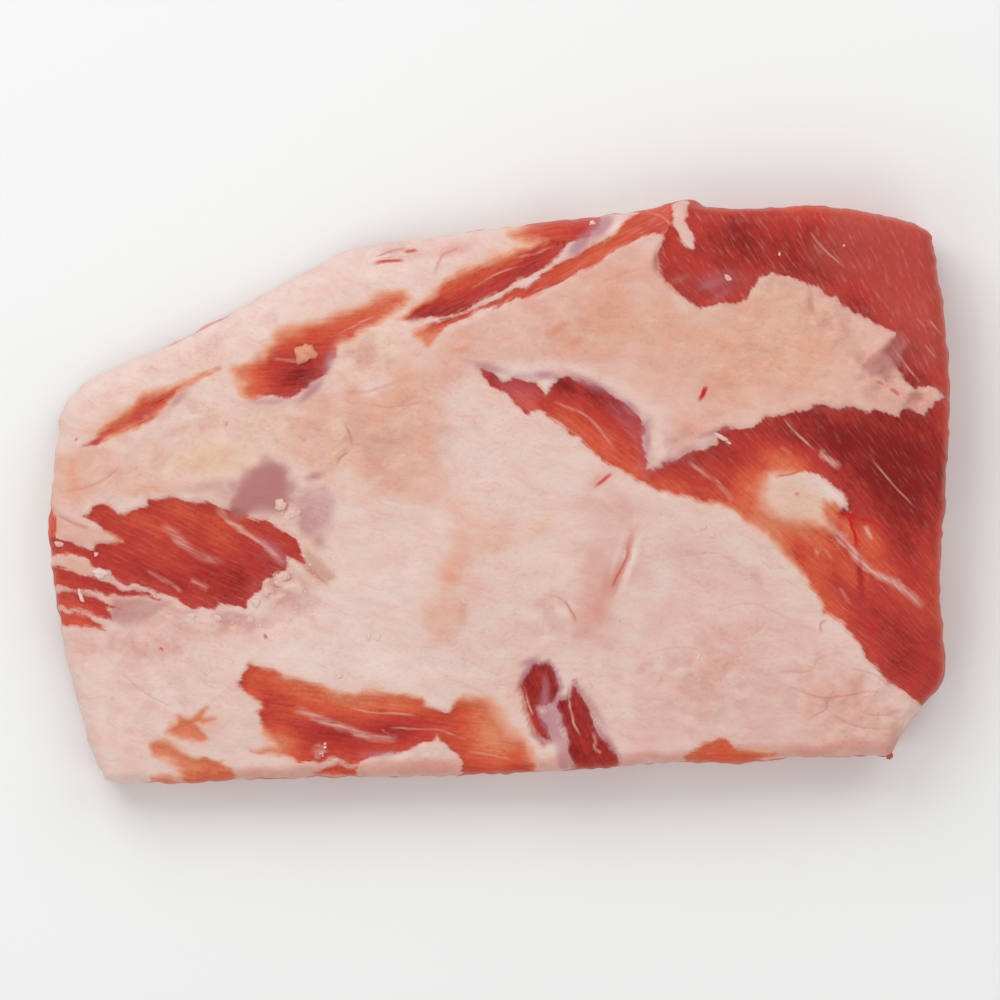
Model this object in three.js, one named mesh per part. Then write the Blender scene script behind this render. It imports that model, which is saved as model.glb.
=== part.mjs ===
// Lamb breast: one slab of raw lamb lying on its inner side, with the fat cover up.
// Millimetres, +Z up. X runs from the flank end to the brisket end, and Y from the
// sawn rib edge to the belly edge. The origin is under the middle of the slab's box.
import * as THREE from "three";

// Thickness of the slab at its four corners, and what the middle rises above them.
const FLANK_RIB_THICKNESS = 15;
const FLANK_BELLY_THICKNESS = 12;
const BRISKET_RIB_THICKNESS = 20;
const BRISKET_BELLY_THICKNESS = 23;
const CROWN = 2.5;

// The fat cover is torn away over the bare lean, which lies this far below it.
const LEAN_STEP = 1.4;
const TORN_EDGE_WIDTH = 2.4;

// The wall draws in towards the underside, and bellies out a little half way down.
const WALL_TUCK = 3.2;
const WALL_BELLY = 0.5;
const MOST_ROLL_DROP = 0.62; // of the thickness there
const TURN_REACH = 4; // rim points either way over which the wall turns a corner

// Grid of the top face, with finer steps by the edges, and rows of faces down the wall.
const STEPS_ALONG = 76;
const STEPS_ACROSS = 50;
const FINER_BY_EDGES = 0.4; // how much shorter the steps at the edges are
const WALL_ROWS = 4;
const OUTLINE_POINTS = 320;

// Broad swells of the fat cover: wavelength, heading in degrees, phase in degrees, height.
const SWELLS = [
  [96, 20, 40, 0.9],
  [67, 115, 200, 0.6],
  [45, 70, 310, 0.35],
  [37, 160, 95, 0.25],
];

// The four edges of the slab as seen from above. Each point is x, y and how far the top
// rolls over before it meets the wall: little on a sawn edge, far on the soft belly edge.
const RIB_EDGE = [
  [-108.9, -79.9, 3],
  [-87.5, -80.7, 3],
  [-70.6, -79.4, 3],
  [-10, -78.3, 3],
  [26, -76.6, 3],
  [44, -74.9, 3],
  [67.3, -74.9, 3],
  [81.4, -73.4, 3],
  [108.3, -73.1, 4],
];
const BRISKET_EDGE = [
  [108.3, -73.1, 4],
  [114.1, -63, 5],
  [122, -53.3, 6],
  [123.3, -46, 6],
  [121.9, -25, 5],
  [123.5, 0, 5],
  [124.7, 21.5, 5],
  [123.8, 41.7, 5],
  [121.8, 58, 5],
  [119.9, 70.5, 5],
];
const BELLY_EDGE = [
  [-121.8, 19.5, 6],
  [-118.3, 26.3, 9],
  [-110.2, 32.5, 12],
  [-92.1, 40.2, 13],
  [-74, 49.6, 13],
  [-47.9, 63.7, 12],
  [-37.3, 67.7, 10],
  [-7.8, 71.6, 9],
  [15.8, 75, 8],
  [40, 77.5, 6],
  [52, 80.6, 5],
  [62, 78, 5],
  [90, 78.8, 5],
  [114.1, 74.2, 5],
  [119.9, 70.5, 5],
];
const FLANK_EDGE = [
  [-108.9, -79.9, 3],
  [-113.6, -68.6, 4],
  [-119.1, -47.8, 4],
  [-122.5, -30, 4],
  [-124.7, -11.5, 4],
  [-123.5, 3.2, 5],
  [-121.8, 19.5, 6],
];

// Windows torn in the fat cover, where bare lean shows. An outline that runs past the
// slab's edge leaves the lean open there.
const LEAN_WINDOWS = {
  brisketUpper: [
    [40, 76], [56, 86], [124, 82], [130, 25], [121, 27], [111, 31], [105, 39], [110, 44.5],
    [94, 52], [77, 60], [69, 56], [63, 51], [50, 54], [43.5, 62],
  ],
  brisketLower: [
    [-6.5, 34], [2, 31], [12, 29], [17, 31.5], [35, 24], [41, 18], [41, 5.5], [61, 14],
    [81, 21.5], [95, 23], [110, 20], [130, 25], [130, -50], [117, -58.5], [99, -41.5],
    [90, -34], [82, -19], [64, -4.5], [47, -1], [30, 8], [18, 17], [7.5, 21.5],
  ],
  flank: [
    [-128, -14], [-112, -14], [-115, -7], [-97.5, -3.5], [-89, -2], [-75, -5.5], [-56, -13.5],
    [-54, -19.5], [-66, -25.5], [-70, -33], [-84, -32], [-97, -29], [-107, -37], [-126, -37],
  ],
  ribStrip: [
    [-70.5, -50], [-68, -48], [-39, -56], [-21, -57], [-14, -61], [-10, -58], [-1, -58.5],
    [9.5, -75], [-4, -76.5], [-17.5, -69.5], [-39, -77], [-64, -69],
  ],
  slot: [
    [6.5, -53], [10, -46.5], [16, -54.5], [21, -53], [27, -64.5], [32, -76], [17, -73.5],
  ],
  bellyNear: [
    [-27.5, 48], [-20, 53], [-9.5, 61], [6.5, 67], [31, 75], [28, 71], [8, 60], [-14, 49.5],
  ],
  bellyMiddle: [
    [-73, 33], [-61.5, 43.5], [-39, 51], [-28, 54.5], [-33, 47], [-44.5, 41], [-54.5, 27.5], [-70, 26],
  ],
  bellyFar: [
    [-112, 13.5], [-94, 25.5], [-78, 34], [-97, 20.5],
  ],
};

const smooth = (t) => {
  const s = THREE.MathUtils.clamp(t, 0, 1);
  return s * s * (3 - 2 * s);
};

// A smooth open curve through points of x, y and roll.
function edgeCurve(points) {
  const knots = points.map(([x, y, roll]) => new THREE.Vector3(x, y, roll));
  return new THREE.CatmullRomCurve3(knots, false, "catmullrom", 0.5);
}

const edges = {
  rib: edgeCurve(RIB_EDGE),
  brisket: edgeCurve(BRISKET_EDGE),
  belly: edgeCurve(BELLY_EDGE),
  flank: edgeCurve(FLANK_EDGE),
};

// The grid stretches the unit square between the four edges: u runs along the slab from
// flank to brisket, v across it from rib to belly.
function stretch(u, v) {
  const rib = edges.rib.getPointAt(u);
  const belly = edges.belly.getPointAt(u);
  const flank = edges.flank.getPointAt(v);
  const brisket = edges.brisket.getPointAt(v);
  const corner = (s, t) => (t ? edges.belly : edges.rib).getPointAt(s);
  return new THREE.Vector3()
    .addScaledVector(rib, 1 - v)
    .addScaledVector(belly, v)
    .addScaledVector(flank, 1 - u)
    .addScaledVector(brisket, u)
    .addScaledVector(corner(0, 0), -(1 - u) * (1 - v))
    .addScaledVector(corner(1, 0), -u * (1 - v))
    .addScaledVector(corner(0, 1), -(1 - u) * v)
    .addScaledVector(corner(1, 1), -u * v);
}

// Step k of n, moved so that the steps at both ends are shorter than those in the middle.
function gridPlace(k, n) {
  const t = k / n;
  return t - (FINER_BY_EDGES * Math.sin(2 * Math.PI * t)) / (2 * Math.PI);
}

// Distance from a point to a closed outline, positive inside it.
function insideDistance(x, y, outline) {
  let nearest = Infinity;
  let inside = false;
  outline.forEach(([ax, ay], i) => {
    const [bx, by] = outline[(i + 1) % outline.length];
    const along = ((x - ax) * (bx - ax) + (y - ay) * (by - ay)) / ((bx - ax) ** 2 + (by - ay) ** 2);
    const t = THREE.MathUtils.clamp(along, 0, 1);
    nearest = Math.min(nearest, Math.hypot(x - ax - t * (bx - ax), y - ay - t * (by - ay)));
    if (ay > y !== by > y && x < ax + ((y - ay) * (bx - ax)) / (by - ay)) inside = !inside;
  });
  return inside ? nearest : -nearest;
}

// The slab's own outline, all the way round.
function slabOutline() {
  const perEdge = OUTLINE_POINTS / 4;
  const walk = (curve, backwards) => {
    const points = curve.getSpacedPoints(perEdge).map((p) => [p.x, p.y]);
    if (backwards) points.reverse();
    return points.slice(0, perEdge);
  };
  return [
    ...walk(edges.rib, false),
    ...walk(edges.brisket, false),
    ...walk(edges.belly, true),
    ...walk(edges.flank, true),
  ];
}

const outline = slabOutline();

function thicknessAt(u, v) {
  const flank = THREE.MathUtils.lerp(FLANK_RIB_THICKNESS, FLANK_BELLY_THICKNESS, v);
  const brisket = THREE.MathUtils.lerp(BRISKET_RIB_THICKNESS, BRISKET_BELLY_THICKNESS, v);
  const crown = CROWN * Math.sin(Math.PI * u) * Math.sin(Math.PI * v);
  return THREE.MathUtils.lerp(flank, brisket, u) + crown;
}

function swellAt(x, y) {
  return SWELLS.reduce((sum, [length, heading, phase, height]) => {
    const turn = THREE.MathUtils.degToRad(heading);
    const along = x * Math.cos(turn) + y * Math.sin(turn);
    return sum + height * Math.sin((2 * Math.PI * along) / length + THREE.MathUtils.degToRad(phase));
  }, 0);
}

// How bare the lean is at a point: 0 under the fat cover, 1 inside a window.
function leanAt(x, y) {
  const depths = Object.values(LEAN_WINDOWS).map((window) => insideDistance(x, y, window));
  return smooth(0.5 + Math.max(...depths) / TORN_EDGE_WIDTH);
}

// Height of the top face at grid place u, v.
function topPoint(u, v) {
  const { x, y, z: roll } = stretch(u, v);
  const thickness = thicknessAt(u, v);
  const inwards = Math.max(0, insideDistance(x, y, outline));
  const shy = 1 - Math.min(1, inwards / roll);
  const rollDrop = Math.min(roll, MOST_ROLL_DROP * thickness) * (1 - Math.sqrt(1 - shy * shy));
  const z = thickness + swellAt(x, y) - LEAN_STEP * leanAt(x, y) - rollDrop;
  return new THREE.Vector3(x, y, z);
}

// Grid places round the rim of the top face, anticlockwise seen from above.
function rimPlaces() {
  const places = [];
  for (let i = 0; i < STEPS_ALONG; i++) places.push([i, 0]);
  for (let j = 0; j < STEPS_ACROSS; j++) places.push([STEPS_ALONG, j]);
  for (let i = STEPS_ALONG; i > 0; i--) places.push([i, STEPS_ACROSS]);
  for (let j = STEPS_ACROSS; j > 0; j--) places.push([0, j]);
  return places;
}

// The wall's point below a rim point, a share of the way down to the underside.
function wallPoint(rim, outwards, share) {
  const reach = WALL_BELLY * Math.sin(Math.PI * share) - WALL_TUCK * share ** 3;
  return new THREE.Vector3(rim.x + outwards.x * reach, rim.y + outwards.y * reach, rim.z * (1 - share));
}

function slabGeometry() {
  const points = [];
  const triangles = [];
  const topIndex = (i, j) => j * (STEPS_ALONG + 1) + i;
  for (let j = 0; j <= STEPS_ACROSS; j++)
    for (let i = 0; i <= STEPS_ALONG; i++)
      points.push(topPoint(gridPlace(i, STEPS_ALONG), gridPlace(j, STEPS_ACROSS)));
  for (let j = 0; j < STEPS_ACROSS; j++)
    for (let i = 0; i < STEPS_ALONG; i++) {
      const [a, b] = [topIndex(i, j), topIndex(i + 1, j)];
      const [c, d] = [topIndex(i + 1, j + 1), topIndex(i, j + 1)];
      const rise = (p, q) => Math.abs(points[p].z - points[q].z);
      // Each square is cut along its flatter diagonal, so that torn edges run clean.
      if (rise(a, c) <= rise(b, d)) triangles.push(a, b, c, a, c, d);
      else triangles.push(a, b, d, b, c, d);
    }

  const rim = rimPlaces().map(([i, j]) => topIndex(i, j));
  const count = rim.length;
  const outwards = rim.map((_, k) => {
    const before = points[rim[(k + count - TURN_REACH) % count]];
    const after = points[rim[(k + TURN_REACH) % count]];
    return new THREE.Vector2(after.y - before.y, before.x - after.x).normalize();
  });
  let upper = rim;
  for (let row = 1; row <= WALL_ROWS; row++) {
    const lower = rim.map((index, k) => {
      points.push(wallPoint(points[index], outwards[k], row / WALL_ROWS));
      return points.length - 1;
    });
    for (let k = 0; k < count; k++) {
      const next = (k + 1) % count;
      triangles.push(upper[k], lower[k], lower[next], upper[k], lower[next], upper[next]);
    }
    upper = lower;
  }

  const underside = upper.map((index) => new THREE.Vector2(points[index].x, points[index].y));
  for (const [a, b, c] of THREE.ShapeUtils.triangulateShape(underside, []))
    triangles.push(upper[a], upper[c], upper[b]);

  const geometry = new THREE.BufferGeometry().setFromPoints(points).setIndex(triangles);
  geometry.computeVertexNormals();
  return geometry;
}

const rawMeat = new THREE.MeshStandardMaterial({ color: 0xd9a596, roughness: 0.5, metalness: 0 });
const slab = new THREE.Mesh(slabGeometry(), rawMeat);
slab.name = "lamb_breast";

const lambBreast = new THREE.Group();
lambBreast.add(slab);

export default lambBreast;
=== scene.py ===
"""A raw lamb breast, fat side up: the slab's fine surface and its raw fat and lean.

Lengths are millimetres in the part's frame, and become metres where a mesh is made.
"""

import math

import bmesh
import bpy
import numpy as np
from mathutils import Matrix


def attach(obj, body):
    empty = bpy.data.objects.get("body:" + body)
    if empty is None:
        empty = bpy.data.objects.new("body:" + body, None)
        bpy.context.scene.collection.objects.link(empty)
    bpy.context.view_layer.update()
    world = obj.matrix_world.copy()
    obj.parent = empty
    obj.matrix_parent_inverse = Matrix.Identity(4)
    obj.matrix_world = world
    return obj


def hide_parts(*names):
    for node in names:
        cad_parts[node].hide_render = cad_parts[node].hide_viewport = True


NODE = "lamb_breast"
BODY = "root"
MM = 0.001

# The slab's solid form, as in the part: corner thicknesses, crown, wall and broad swells.
FLANK_RIB_THICKNESS = 15
FLANK_BELLY_THICKNESS = 12
BRISKET_RIB_THICKNESS = 20
BRISKET_BELLY_THICKNESS = 23
CROWN = 2.5
WALL_TUCK = 3.2
WALL_BELLY = 0.5
MOST_ROLL_DROP = 0.62
SWELLS = [(96, 20, 40, 0.9), (67, 115, 200, 0.6), (45, 70, 310, 0.35), (37, 160, 95, 0.25)]

# The four edges seen from above: x, y and how far the top rolls over before the wall.
RIB_EDGE = [
    (-108.9, -79.9, 3), (-87.5, -80.7, 3), (-70.6, -79.4, 3), (-10, -78.3, 3), (26, -76.6, 3),
    (44, -74.9, 3), (67.3, -74.9, 3), (81.4, -73.4, 3), (108.3, -73.1, 4),
]
BRISKET_EDGE = [
    (108.3, -73.1, 4), (114.1, -63, 5), (122, -53.3, 6), (123.3, -46, 6), (121.9, -25, 5),
    (123.5, 0, 5), (124.7, 21.5, 5), (123.8, 41.7, 5), (121.8, 58, 5), (119.9, 70.5, 5),
]
BELLY_EDGE = [
    (-121.8, 19.5, 6), (-118.3, 26.3, 9), (-110.2, 32.5, 12), (-92.1, 40.2, 13), (-74, 49.6, 13),
    (-47.9, 63.7, 12), (-37.3, 67.7, 10), (-7.8, 71.6, 9), (15.8, 75, 8), (40, 77.5, 6),
    (52, 80.6, 5), (62, 78, 5), (90, 78.8, 5), (114.1, 74.2, 5), (119.9, 70.5, 5),
]
FLANK_EDGE = [
    (-108.9, -79.9, 3), (-113.6, -68.6, 4), (-119.1, -47.8, 4), (-122.5, -30, 4),
    (-124.7, -11.5, 4), (-123.5, 3.2, 5), (-121.8, 19.5, 6),
]

# Fine mesh of the slab.
STEPS_ALONG = 352
STEPS_ACROSS = 224
FINER_BY_EDGES = 0.3
WALL_ROWS = 10
UNDER_EVERY = 4  # the underside's squares are this many steps wide
TURN_REACH = 18  # rim points either way over which the wall turns a corner
OUTLINE_POINTS = 320
CURVE_SAMPLES = 400
LINE_PIECES = 4  # straight pieces between two points of a line
FAR = 99.0  # a distance beyond any that shows

# Noise: soft bumps, and clouds of several sizes of them.
NOISE_CELLS = 64
OCTAVES = 3
OCTAVE_TURN = (0.8, 0.6)  # cosine and sine of the turn from one size to the next
CLOUD_SPREAD = 1.3

# Windows in the fat cover, where bare lean shows: heading of the fibres in degrees, or None
# where they run to the focus, how deep the red is, and the outline. An outline past the
# slab's edge leaves it open there.
BRISKET_FOCUS = (199, -120)  # the brisket's fibres run together towards this point
STRAIGHT = 2000  # and straight fibres towards one this far away
FOCUS_SHARE = 0.75  # lengths across its fibres are true at this share of the focus's distance
WINDOWS = {
    "brisket_upper": (None, 0.1, [
        (50, 84), (128, 84), (128, 25.5), (122.6, 25.6), (121.6, 28), (119.5, 29.6), (117, 29.4),
        (116, 28), (114.2, 28.8), (111.9, 30.8), (110.2, 34.2), (108.2, 36.6), (105.7, 39.2),
        (108.2, 42.2), (110.2, 44.2), (101, 48), (94.5, 51.5), (88, 56.5), (84, 58), (80, 59.5),
        (76, 60.5), (71.5, 59), (69.5, 56), (67, 52.5), (61.5, 51.5), (55.5, 51), (50, 54), (44.5, 59),
        (43.5, 64), (46, 69.5), (45, 75), (50, 79),
    ]),
    "belly_strip": (29, -0.45, [
        (54, 84), (44, 82), (38, 76.5), (34, 74), (29.5, 70.5), (24.5, 67), (12, 60), (7, 56.5),
        (-1, 52.5), (-7.5, 50), (-14.5, 48), (-24, 44), (-19.5, 40.5), (-17, 43.5), (-12, 47),
        (-5.5, 49.5), (1, 51.5), (9, 54), (20, 59.5), (30.5, 66), (36, 69), (42.5, 71.5), (47, 70.5),
        (53, 69),
    ]),
    "brisket_lower": (None, 0.2, [
        (128, 25.5), (122.6, 25.6), (121, 24.2), (118.3, 22.3), (116.5, 21.1), (115, 21.8), (114, 23),
        (112.4, 21.6), (110.8, 19.8), (107.3, 22), (103.9, 23), (102.5, 21.6), (95.5, 23.5), (87.5, 23.5),
        (81, 22), (75.5, 20.5), (69.5, 18), (60, 17.5), (60.5, 14), (50.5, 10), (41.5, 5.5), (40, 13.5),
        (40.8, 17.5), (37.2, 23.2), (30.4, 27.8), (23, 30.2), (17, 31.8), (15, 30), (13.5, 25.5),
        (11.5, 28), (10, 30), (4, 31), (1.5, 30.5), (-1.5, 33), (-6.5, 34), (-2.5, 29.5), (1.5, 27.5),
        (5.5, 23), (7.5, 21.5), (9, 23), (15, 20), (21.5, 15), (25, 12), (30, 8), (36, 4.5), (44, 0),
        (53.5, -2), (64, -4.5), (72.5, -10.5), (79, -16.5), (83, -21.5), (88.5, -28), (90.5, -34),
        (95.5, -36), (99.5, -41.5), (101.5, -46), (107, -51), (113, -56), (118, -59.5), (128.5, -58),
    ]),
    "flank": (-27, -0.05, [
        (-128, -12), (-123.2, -12.6), (-119.8, -13.4), (-117, -15.1), (-112.4, -16), (-112.2, -14.3),
        (-104.5, -13.7), (-108.5, -11.2), (-112.4, -8.3), (-115.8, -6.9), (-112.4, -5.8), (-112.2, -4.4),
        (-109.6, -3.7), (-107.9, -4.9), (-105.4, -6.1), (-97.7, -4.1), (-97.2, -2.1), (-89.3, -2),
        (-78, -4.1), (-71.7, -5.8), (-65, -8.3), (-59.9, -11.2), (-55.6, -13.4), (-53.7, -19.6),
        (-59.9, -18.7), (-58.5, -21.9), (-63.3, -22.2), (-61.8, -23.3), (-65, -24.7), (-66.1, -27),
        (-68.9, -28.1), (-69.5, -32.7), (-78.5, -31.2), (-79.1, -32.7), (-85.3, -32.1), (-89.2, -30),
        (-98.6, -26.3), (-108, -23.6), (-108.5, -22.4), (-113, -21.3), (-115.8, -18), (-118.7, -16.8),
        (-128, -16.5),
    ]),
    "flank_rim": (90, -0.4, [
        (-128, -3.5), (-123.4, -4), (-122.9, -9), (-123, -15), (-123.6, -18), (-128, -18),
    ]),
    "flank_first_strip": (-16, 0, [
        (-128, -20.5), (-121.4, -21.2), (-113.8, -23.7), (-106.9, -26.2), (-97.4, -28.4), (-94, -29.6),
        (-108, -28.8), (-114.5, -27.8), (-122, -26.2), (-128, -25.6),
    ]),
    "flank_second_strip": (-18, -0.1, [
        (-128, -27.6), (-121.8, -28.4), (-118.7, -28), (-112.4, -29.8), (-106.2, -32.1), (-110.2, -31.8),
        (-108.5, -33.8), (-107.6, -35.8), (-113, -34.3), (-121.5, -32.1), (-128, -31),
    ]),
    "flank_third_strip": (-18, -0.1, [
        (-128, -32.5), (-121.5, -33.4), (-115.8, -34.8), (-110.7, -36.8), (-108.8, -38.9),
        (-114.1, -37.9), (-119.8, -37), (-128, -36),
    ]),
    "rib_strip": (-9, -0.2, [
        (-70.4, -50.4), (-68.9, -48), (-66.3, -48.8), (-62.2, -50.6), (-56.1, -52.4), (-51, -53.7),
        (-46.9, -55.5), (-40.7, -56), (-25.4, -56.5), (-20.5, -57.1), (-19.6, -59.1), (-13.9, -61.8),
        (-12.5, -60.4), (-11.2, -57.8), (-3.5, -57.8), (-0.5, -61), (2, -67), (7, -69.5), (10, -76),
        (10, -81), (-10.5, -81), (-9.4, -75.5), (-12.5, -72.4), (-17.4, -67.5), (-22.3, -71),
        (-29.5, -72.4), (-36.1, -72.9), (-39.2, -75.5), (-44.8, -74.9), (-57.1, -73.9), (-63, -72.5),
        (-68.6, -71.5), (-63, -71.7), (-59.7, -72.3), (-61.7, -70.8), (-65.3, -66.2), (-65.6, -63.2),
        (-67.1, -61.6), (-65.8, -60.1), (-66.9, -58), (-69.4, -56), (-71.5, -53.4),
    ]),
    "rib_strip_tail": (-5, -0.4, [
        (-52, -77.9), (-48.9, -76.5), (-44.3, -75.5), (-39.7, -76.5), (-40.2, -78.5),
    ]),
    "rib_corner_upper": (20, -1.35, [
        (-92.2, -66.7), (-88.9, -64.7), (-88.6, -62.9), (-85.3, -63.4), (-80.4, -60.3), (-82, -62.6),
        (-78.4, -63.7), (-84.3, -64.4), (-81.5, -69.1), (-83.8, -69.6), (-89.4, -67.3),
    ]),
    "rib_corner_lower": (-15, -1.35, [
        (-97.1, -70.6), (-95, -69.8), (-92, -69.8), (-88.9, -71.9), (-85.3, -73.9), (-77.6, -75.2),
        (-72, -78.5), (-76, -84), (-97, -84), (-96.5, -80), (-87, -79.2), (-88.4, -76.5), (-92, -73.9),
        (-96, -73),
    ]),
    "slot_left": (-70, 0.55, [
        (8, -49), (10.2, -47.2), (13.4, -47.4), (14.8, -50), (15.8, -52.4), (16.6, -55), (16, -57.2),
        (14.4, -58.8), (12, -59.4), (10.4, -60.4), (11, -62.8), (12.8, -64.8), (14, -66.4), (14.6, -69.2),
        (13, -69.8), (11.2, -68.4), (9.5, -66.9), (8.6, -64), (7.4, -60.5), (6.4, -56), (6.2, -53),
        (6.8, -51),
    ]),
    "slot_right": (-66, 0.5, [
        (20.8, -52.4), (21.8, -54), (22.7, -56.1), (25.3, -60.9), (27.6, -64.8), (28.4, -67.1),
        (30.4, -70.5), (31.8, -71.9), (32.6, -74.2), (32.6, -80), (21.2, -80), (21, -74.8), (19.6, -71.6),
        (18.6, -68), (17.4, -65.5), (16.8, -62.3), (16.6, -59.5), (17.3, -57.4), (18.9, -57.4), (20, -56),
        (20.4, -54.2),
    ]),
    "rib_half_moon": (-5, -0.95, [
        (51.7, -73.3), (53.8, -71.5), (55.6, -69.6), (58.8, -68.5), (63, -69.2), (65.7, -71),
        (72.2, -71.9), (77.5, -72.8), (73, -74.3), (70, -79), (51.5, -79),
    ]),
    "belly_near": (27, 0.1, [
        (-27.5, 48), (-22.5, 51), (-18.5, 54), (-15.5, 57.5), (-10, 60.5), (-5.5, 62), (-1, 64.5),
        (4, 66.5), (9.5, 68.5), (14, 70), (19, 71), (18.5, 67), (14.5, 63), (8, 60), (4, 57), (-1, 54.5),
        (-5.5, 52), (-9, 50.5), (-14, 49), (-17, 48), (-22.5, 47.5),
    ]),
    "belly_rim": (12, -0.1, [
        (2.5, 71.5), (11, 75), (16.5, 79), (29.5, 80), (29.5, 77), (27.5, 73), (24.5, 70), (20, 69),
        (16, 67.5), (13.5, 69), (11.5, 69.5), (7, 69.5),
    ]),
    "belly_middle": (4, 0, [
        (-73.6, 34), (-68.8, 35.1), (-65.2, 37.4), (-63.5, 40), (-61.3, 42.7), (-57.7, 44.4),
        (-52.4, 46.2), (-47.1, 47.5), (-38.3, 51.5), (-32.5, 53.7), (-26.8, 55), (-25.5, 53.3),
        (-32.1, 47.5), (-34.8, 45.7), (-39.2, 44.2), (-44.9, 40.4), (-45.8, 37.8), (-48, 35.6),
        (-48.4, 32.9), (-52.9, 29), (-57.7, 26.5), (-70.5, 26.3), (-71.2, 28.5), (-70.2, 29.6),
        (-71.9, 31.2),
    ]),
    "belly_far": (27, -0.1, [
        (-115, 13), (-111.5, 15), (-108.5, 19), (-104, 22), (-100, 25), (-96, 27.5), (-93, 28.2),
        (-88.5, 29.5), (-83, 32), (-77.5, 34.2), (-80.5, 32.8), (-86.5, 29.8), (-90, 26.5), (-92.5, 23.5),
        (-96, 21), (-98.5, 19), (-103, 17.5), (-108, 14.8), (-111.5, 13),
    ]),
}

# Fat lying over the lean inside those windows.
FAT_OVER_LEAN = {
    "brisket_cream": [
        (75, 4.6), (80.9, 4.8), (84.8, 5.6), (88.6, 4.2), (91.4, 2.2), (94.3, -0.6), (96.8, -3.2),
        (98.1, -5.4), (95.6, -5), (92.4, -3.1), (89.8, -2.6), (89.6, -4.4), (91, -7.4), (92.4, -10),
        (88.6, -9), (84, -8.4), (79, -8), (75, -6.8), (72.4, -4.2), (73, 0.4),
    ],
    "rib_corner_cream": [(-94.5, -76), (-88.5, -77.2), (-87, -80), (-94.5, -79.5)],
    "brisket_tab": [
        (47.2, 84), (53, 84), (52, 78.6), (51.4, 74.8), (52.6, 71.8), (54, 69.7), (54.4, 67.6),
        (53.3, 67.6), (49.6, 70.4), (48, 73), (48.3, 77.3), (47.6, 79.5),
    ],
}

# A lilac skin shows in the fat round these windows, with this strength.
LILAC_EDGES = {"slot_left": 0.75, "slot_right": 0.7, "brisket_upper": 0.3}
HALO_PLACE = 0.4  # how far outside the window the skin is strongest
HALO_WIDTH = 0.8

# How strongly pale flecks show between a window's fibres.
FLECKS = {"brisket_upper": 0.6, "brisket_lower": 0.36, "belly_strip": 0.7, "flank": 0.3}
FEW_FLECKS = 0.15

# Tears along the fibres at a window's edge, and streaks in its red.
LANE_STEP = 7.3  # keeps the noise of fibres with other headings apart
FIBRE_TEARS = [(3.2, 0.5, 21), (1.5, 0.3, 22)]  # size, reach and seed
STREAK_DEPTH = 0.14
STREAK_LENGTH = 5  # how many times as long as wide
STREAKS = (3.5, 67)  # size and seed
LEAN_REACH = 15  # distances from a window's edge matter up to here

# Where a window's edge is soft: x, y, reach and the width over which fat turns to lean.
SHARP_EDGE = 1.1
SOFT_EDGES = [
    (30, 8, 7, 1.6), (36, 4, 6, 2), (44, 0, 7, 2.2), (53, -2, 7, 2.4), (62, -4, 8, 3), (71, -9, 6, 5),
    (77, -15, 6, 4), (82, -20, 8, 3), (88, -28, 7, 2.6), (91, -35, 6, 2.2), (98, -41, 6, 1.8),
    (106, -50, 7, 1.6), (72, 2, 5, 8), (74, -5, 6, 9), (82, -10, 7, 10), (91, -12, 5, 6), (78, 6, 5, 5),
    (97, -15, 4, 3.4), (90, -5, 4, 5), (-22, 42, 4, 6), (-19, 55, 4, 5), (-11, 61, 5, 7),
    (-1, 65.5, 5, 7), (5, 71, 5, 6), (12, 70, 4, 4), (26, 68, 5, 1.8), (31, 72, 5, 2.2), (10, 53, 6, 1.6),
    (-58, 45, 8, 7), (-46, 49, 9, 6.5), (-34, 53, 8, 6.5), (-27, 54, 5, 6), (-65, 39, 6, 7),
    (-73, 31, 6, 7), (-106, 21, 7, 5), (-97, 27, 7, 5), (-86, 31, 7, 4), (-64, -50, 6, 2.4),
    (-56, -52, 8, 3), (-46, -55, 9, 3.6), (-34, -56, 9, 3.6), (-24, -57, 6, 3), (-7, -58, 5, 6),
    (-0.5, -61, 6, 11), (3, -68, 5, 12), (8, -73, 4, 7), (-63, -70, 5, 6), (-66, -58, 5, 2.2),
    (-87, -66, 7, 4.6), (-90, -74, 9, 5), (-76, -77, 5, 3), (-46, -77, 6, 2), (56, -69, 7, 2.6),
    (72, -72, 7, 3), (-100, -4, 12, 1.4), (52, 78, 4, 1.6), (-105, -12, 5, 2.4), (-116, -30, 8, 1.5),
]

# Two flaps of film that lie folded on the fat, and the tinted part of the first, whose whiter tone is
# partly a painted highlight.
FOLDED_FLAP = [
    (-47.4, 19.6), (-44, 19.6), (-42.4, 16.4), (-41.2, 13), (-42, 11.6), (-44, 10.8), (-46.2, 7.6),
    (-47.6, 7.8), (-46.6, 11), (-47.4, 14),
]
FLANK_FLAP = [(-54.5, -15), (-50.5, -17), (-44.4, -23.6), (-47.4, -25.4), (-54, -20.2)]
FOLDED_FILM = [(-47.2, 19.4), (-44, 19.4), (-41.4, 12.6), (-44, 11), (-46.4, 8), (-47.4, 8), (-46.4, 12)]
FLAPS = [(0.5, FOLDED_FLAP), (0.4, FLANK_FLAP)]  # how far each flap stands up, and its outline
FLAP_EDGE = 1.6
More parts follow.
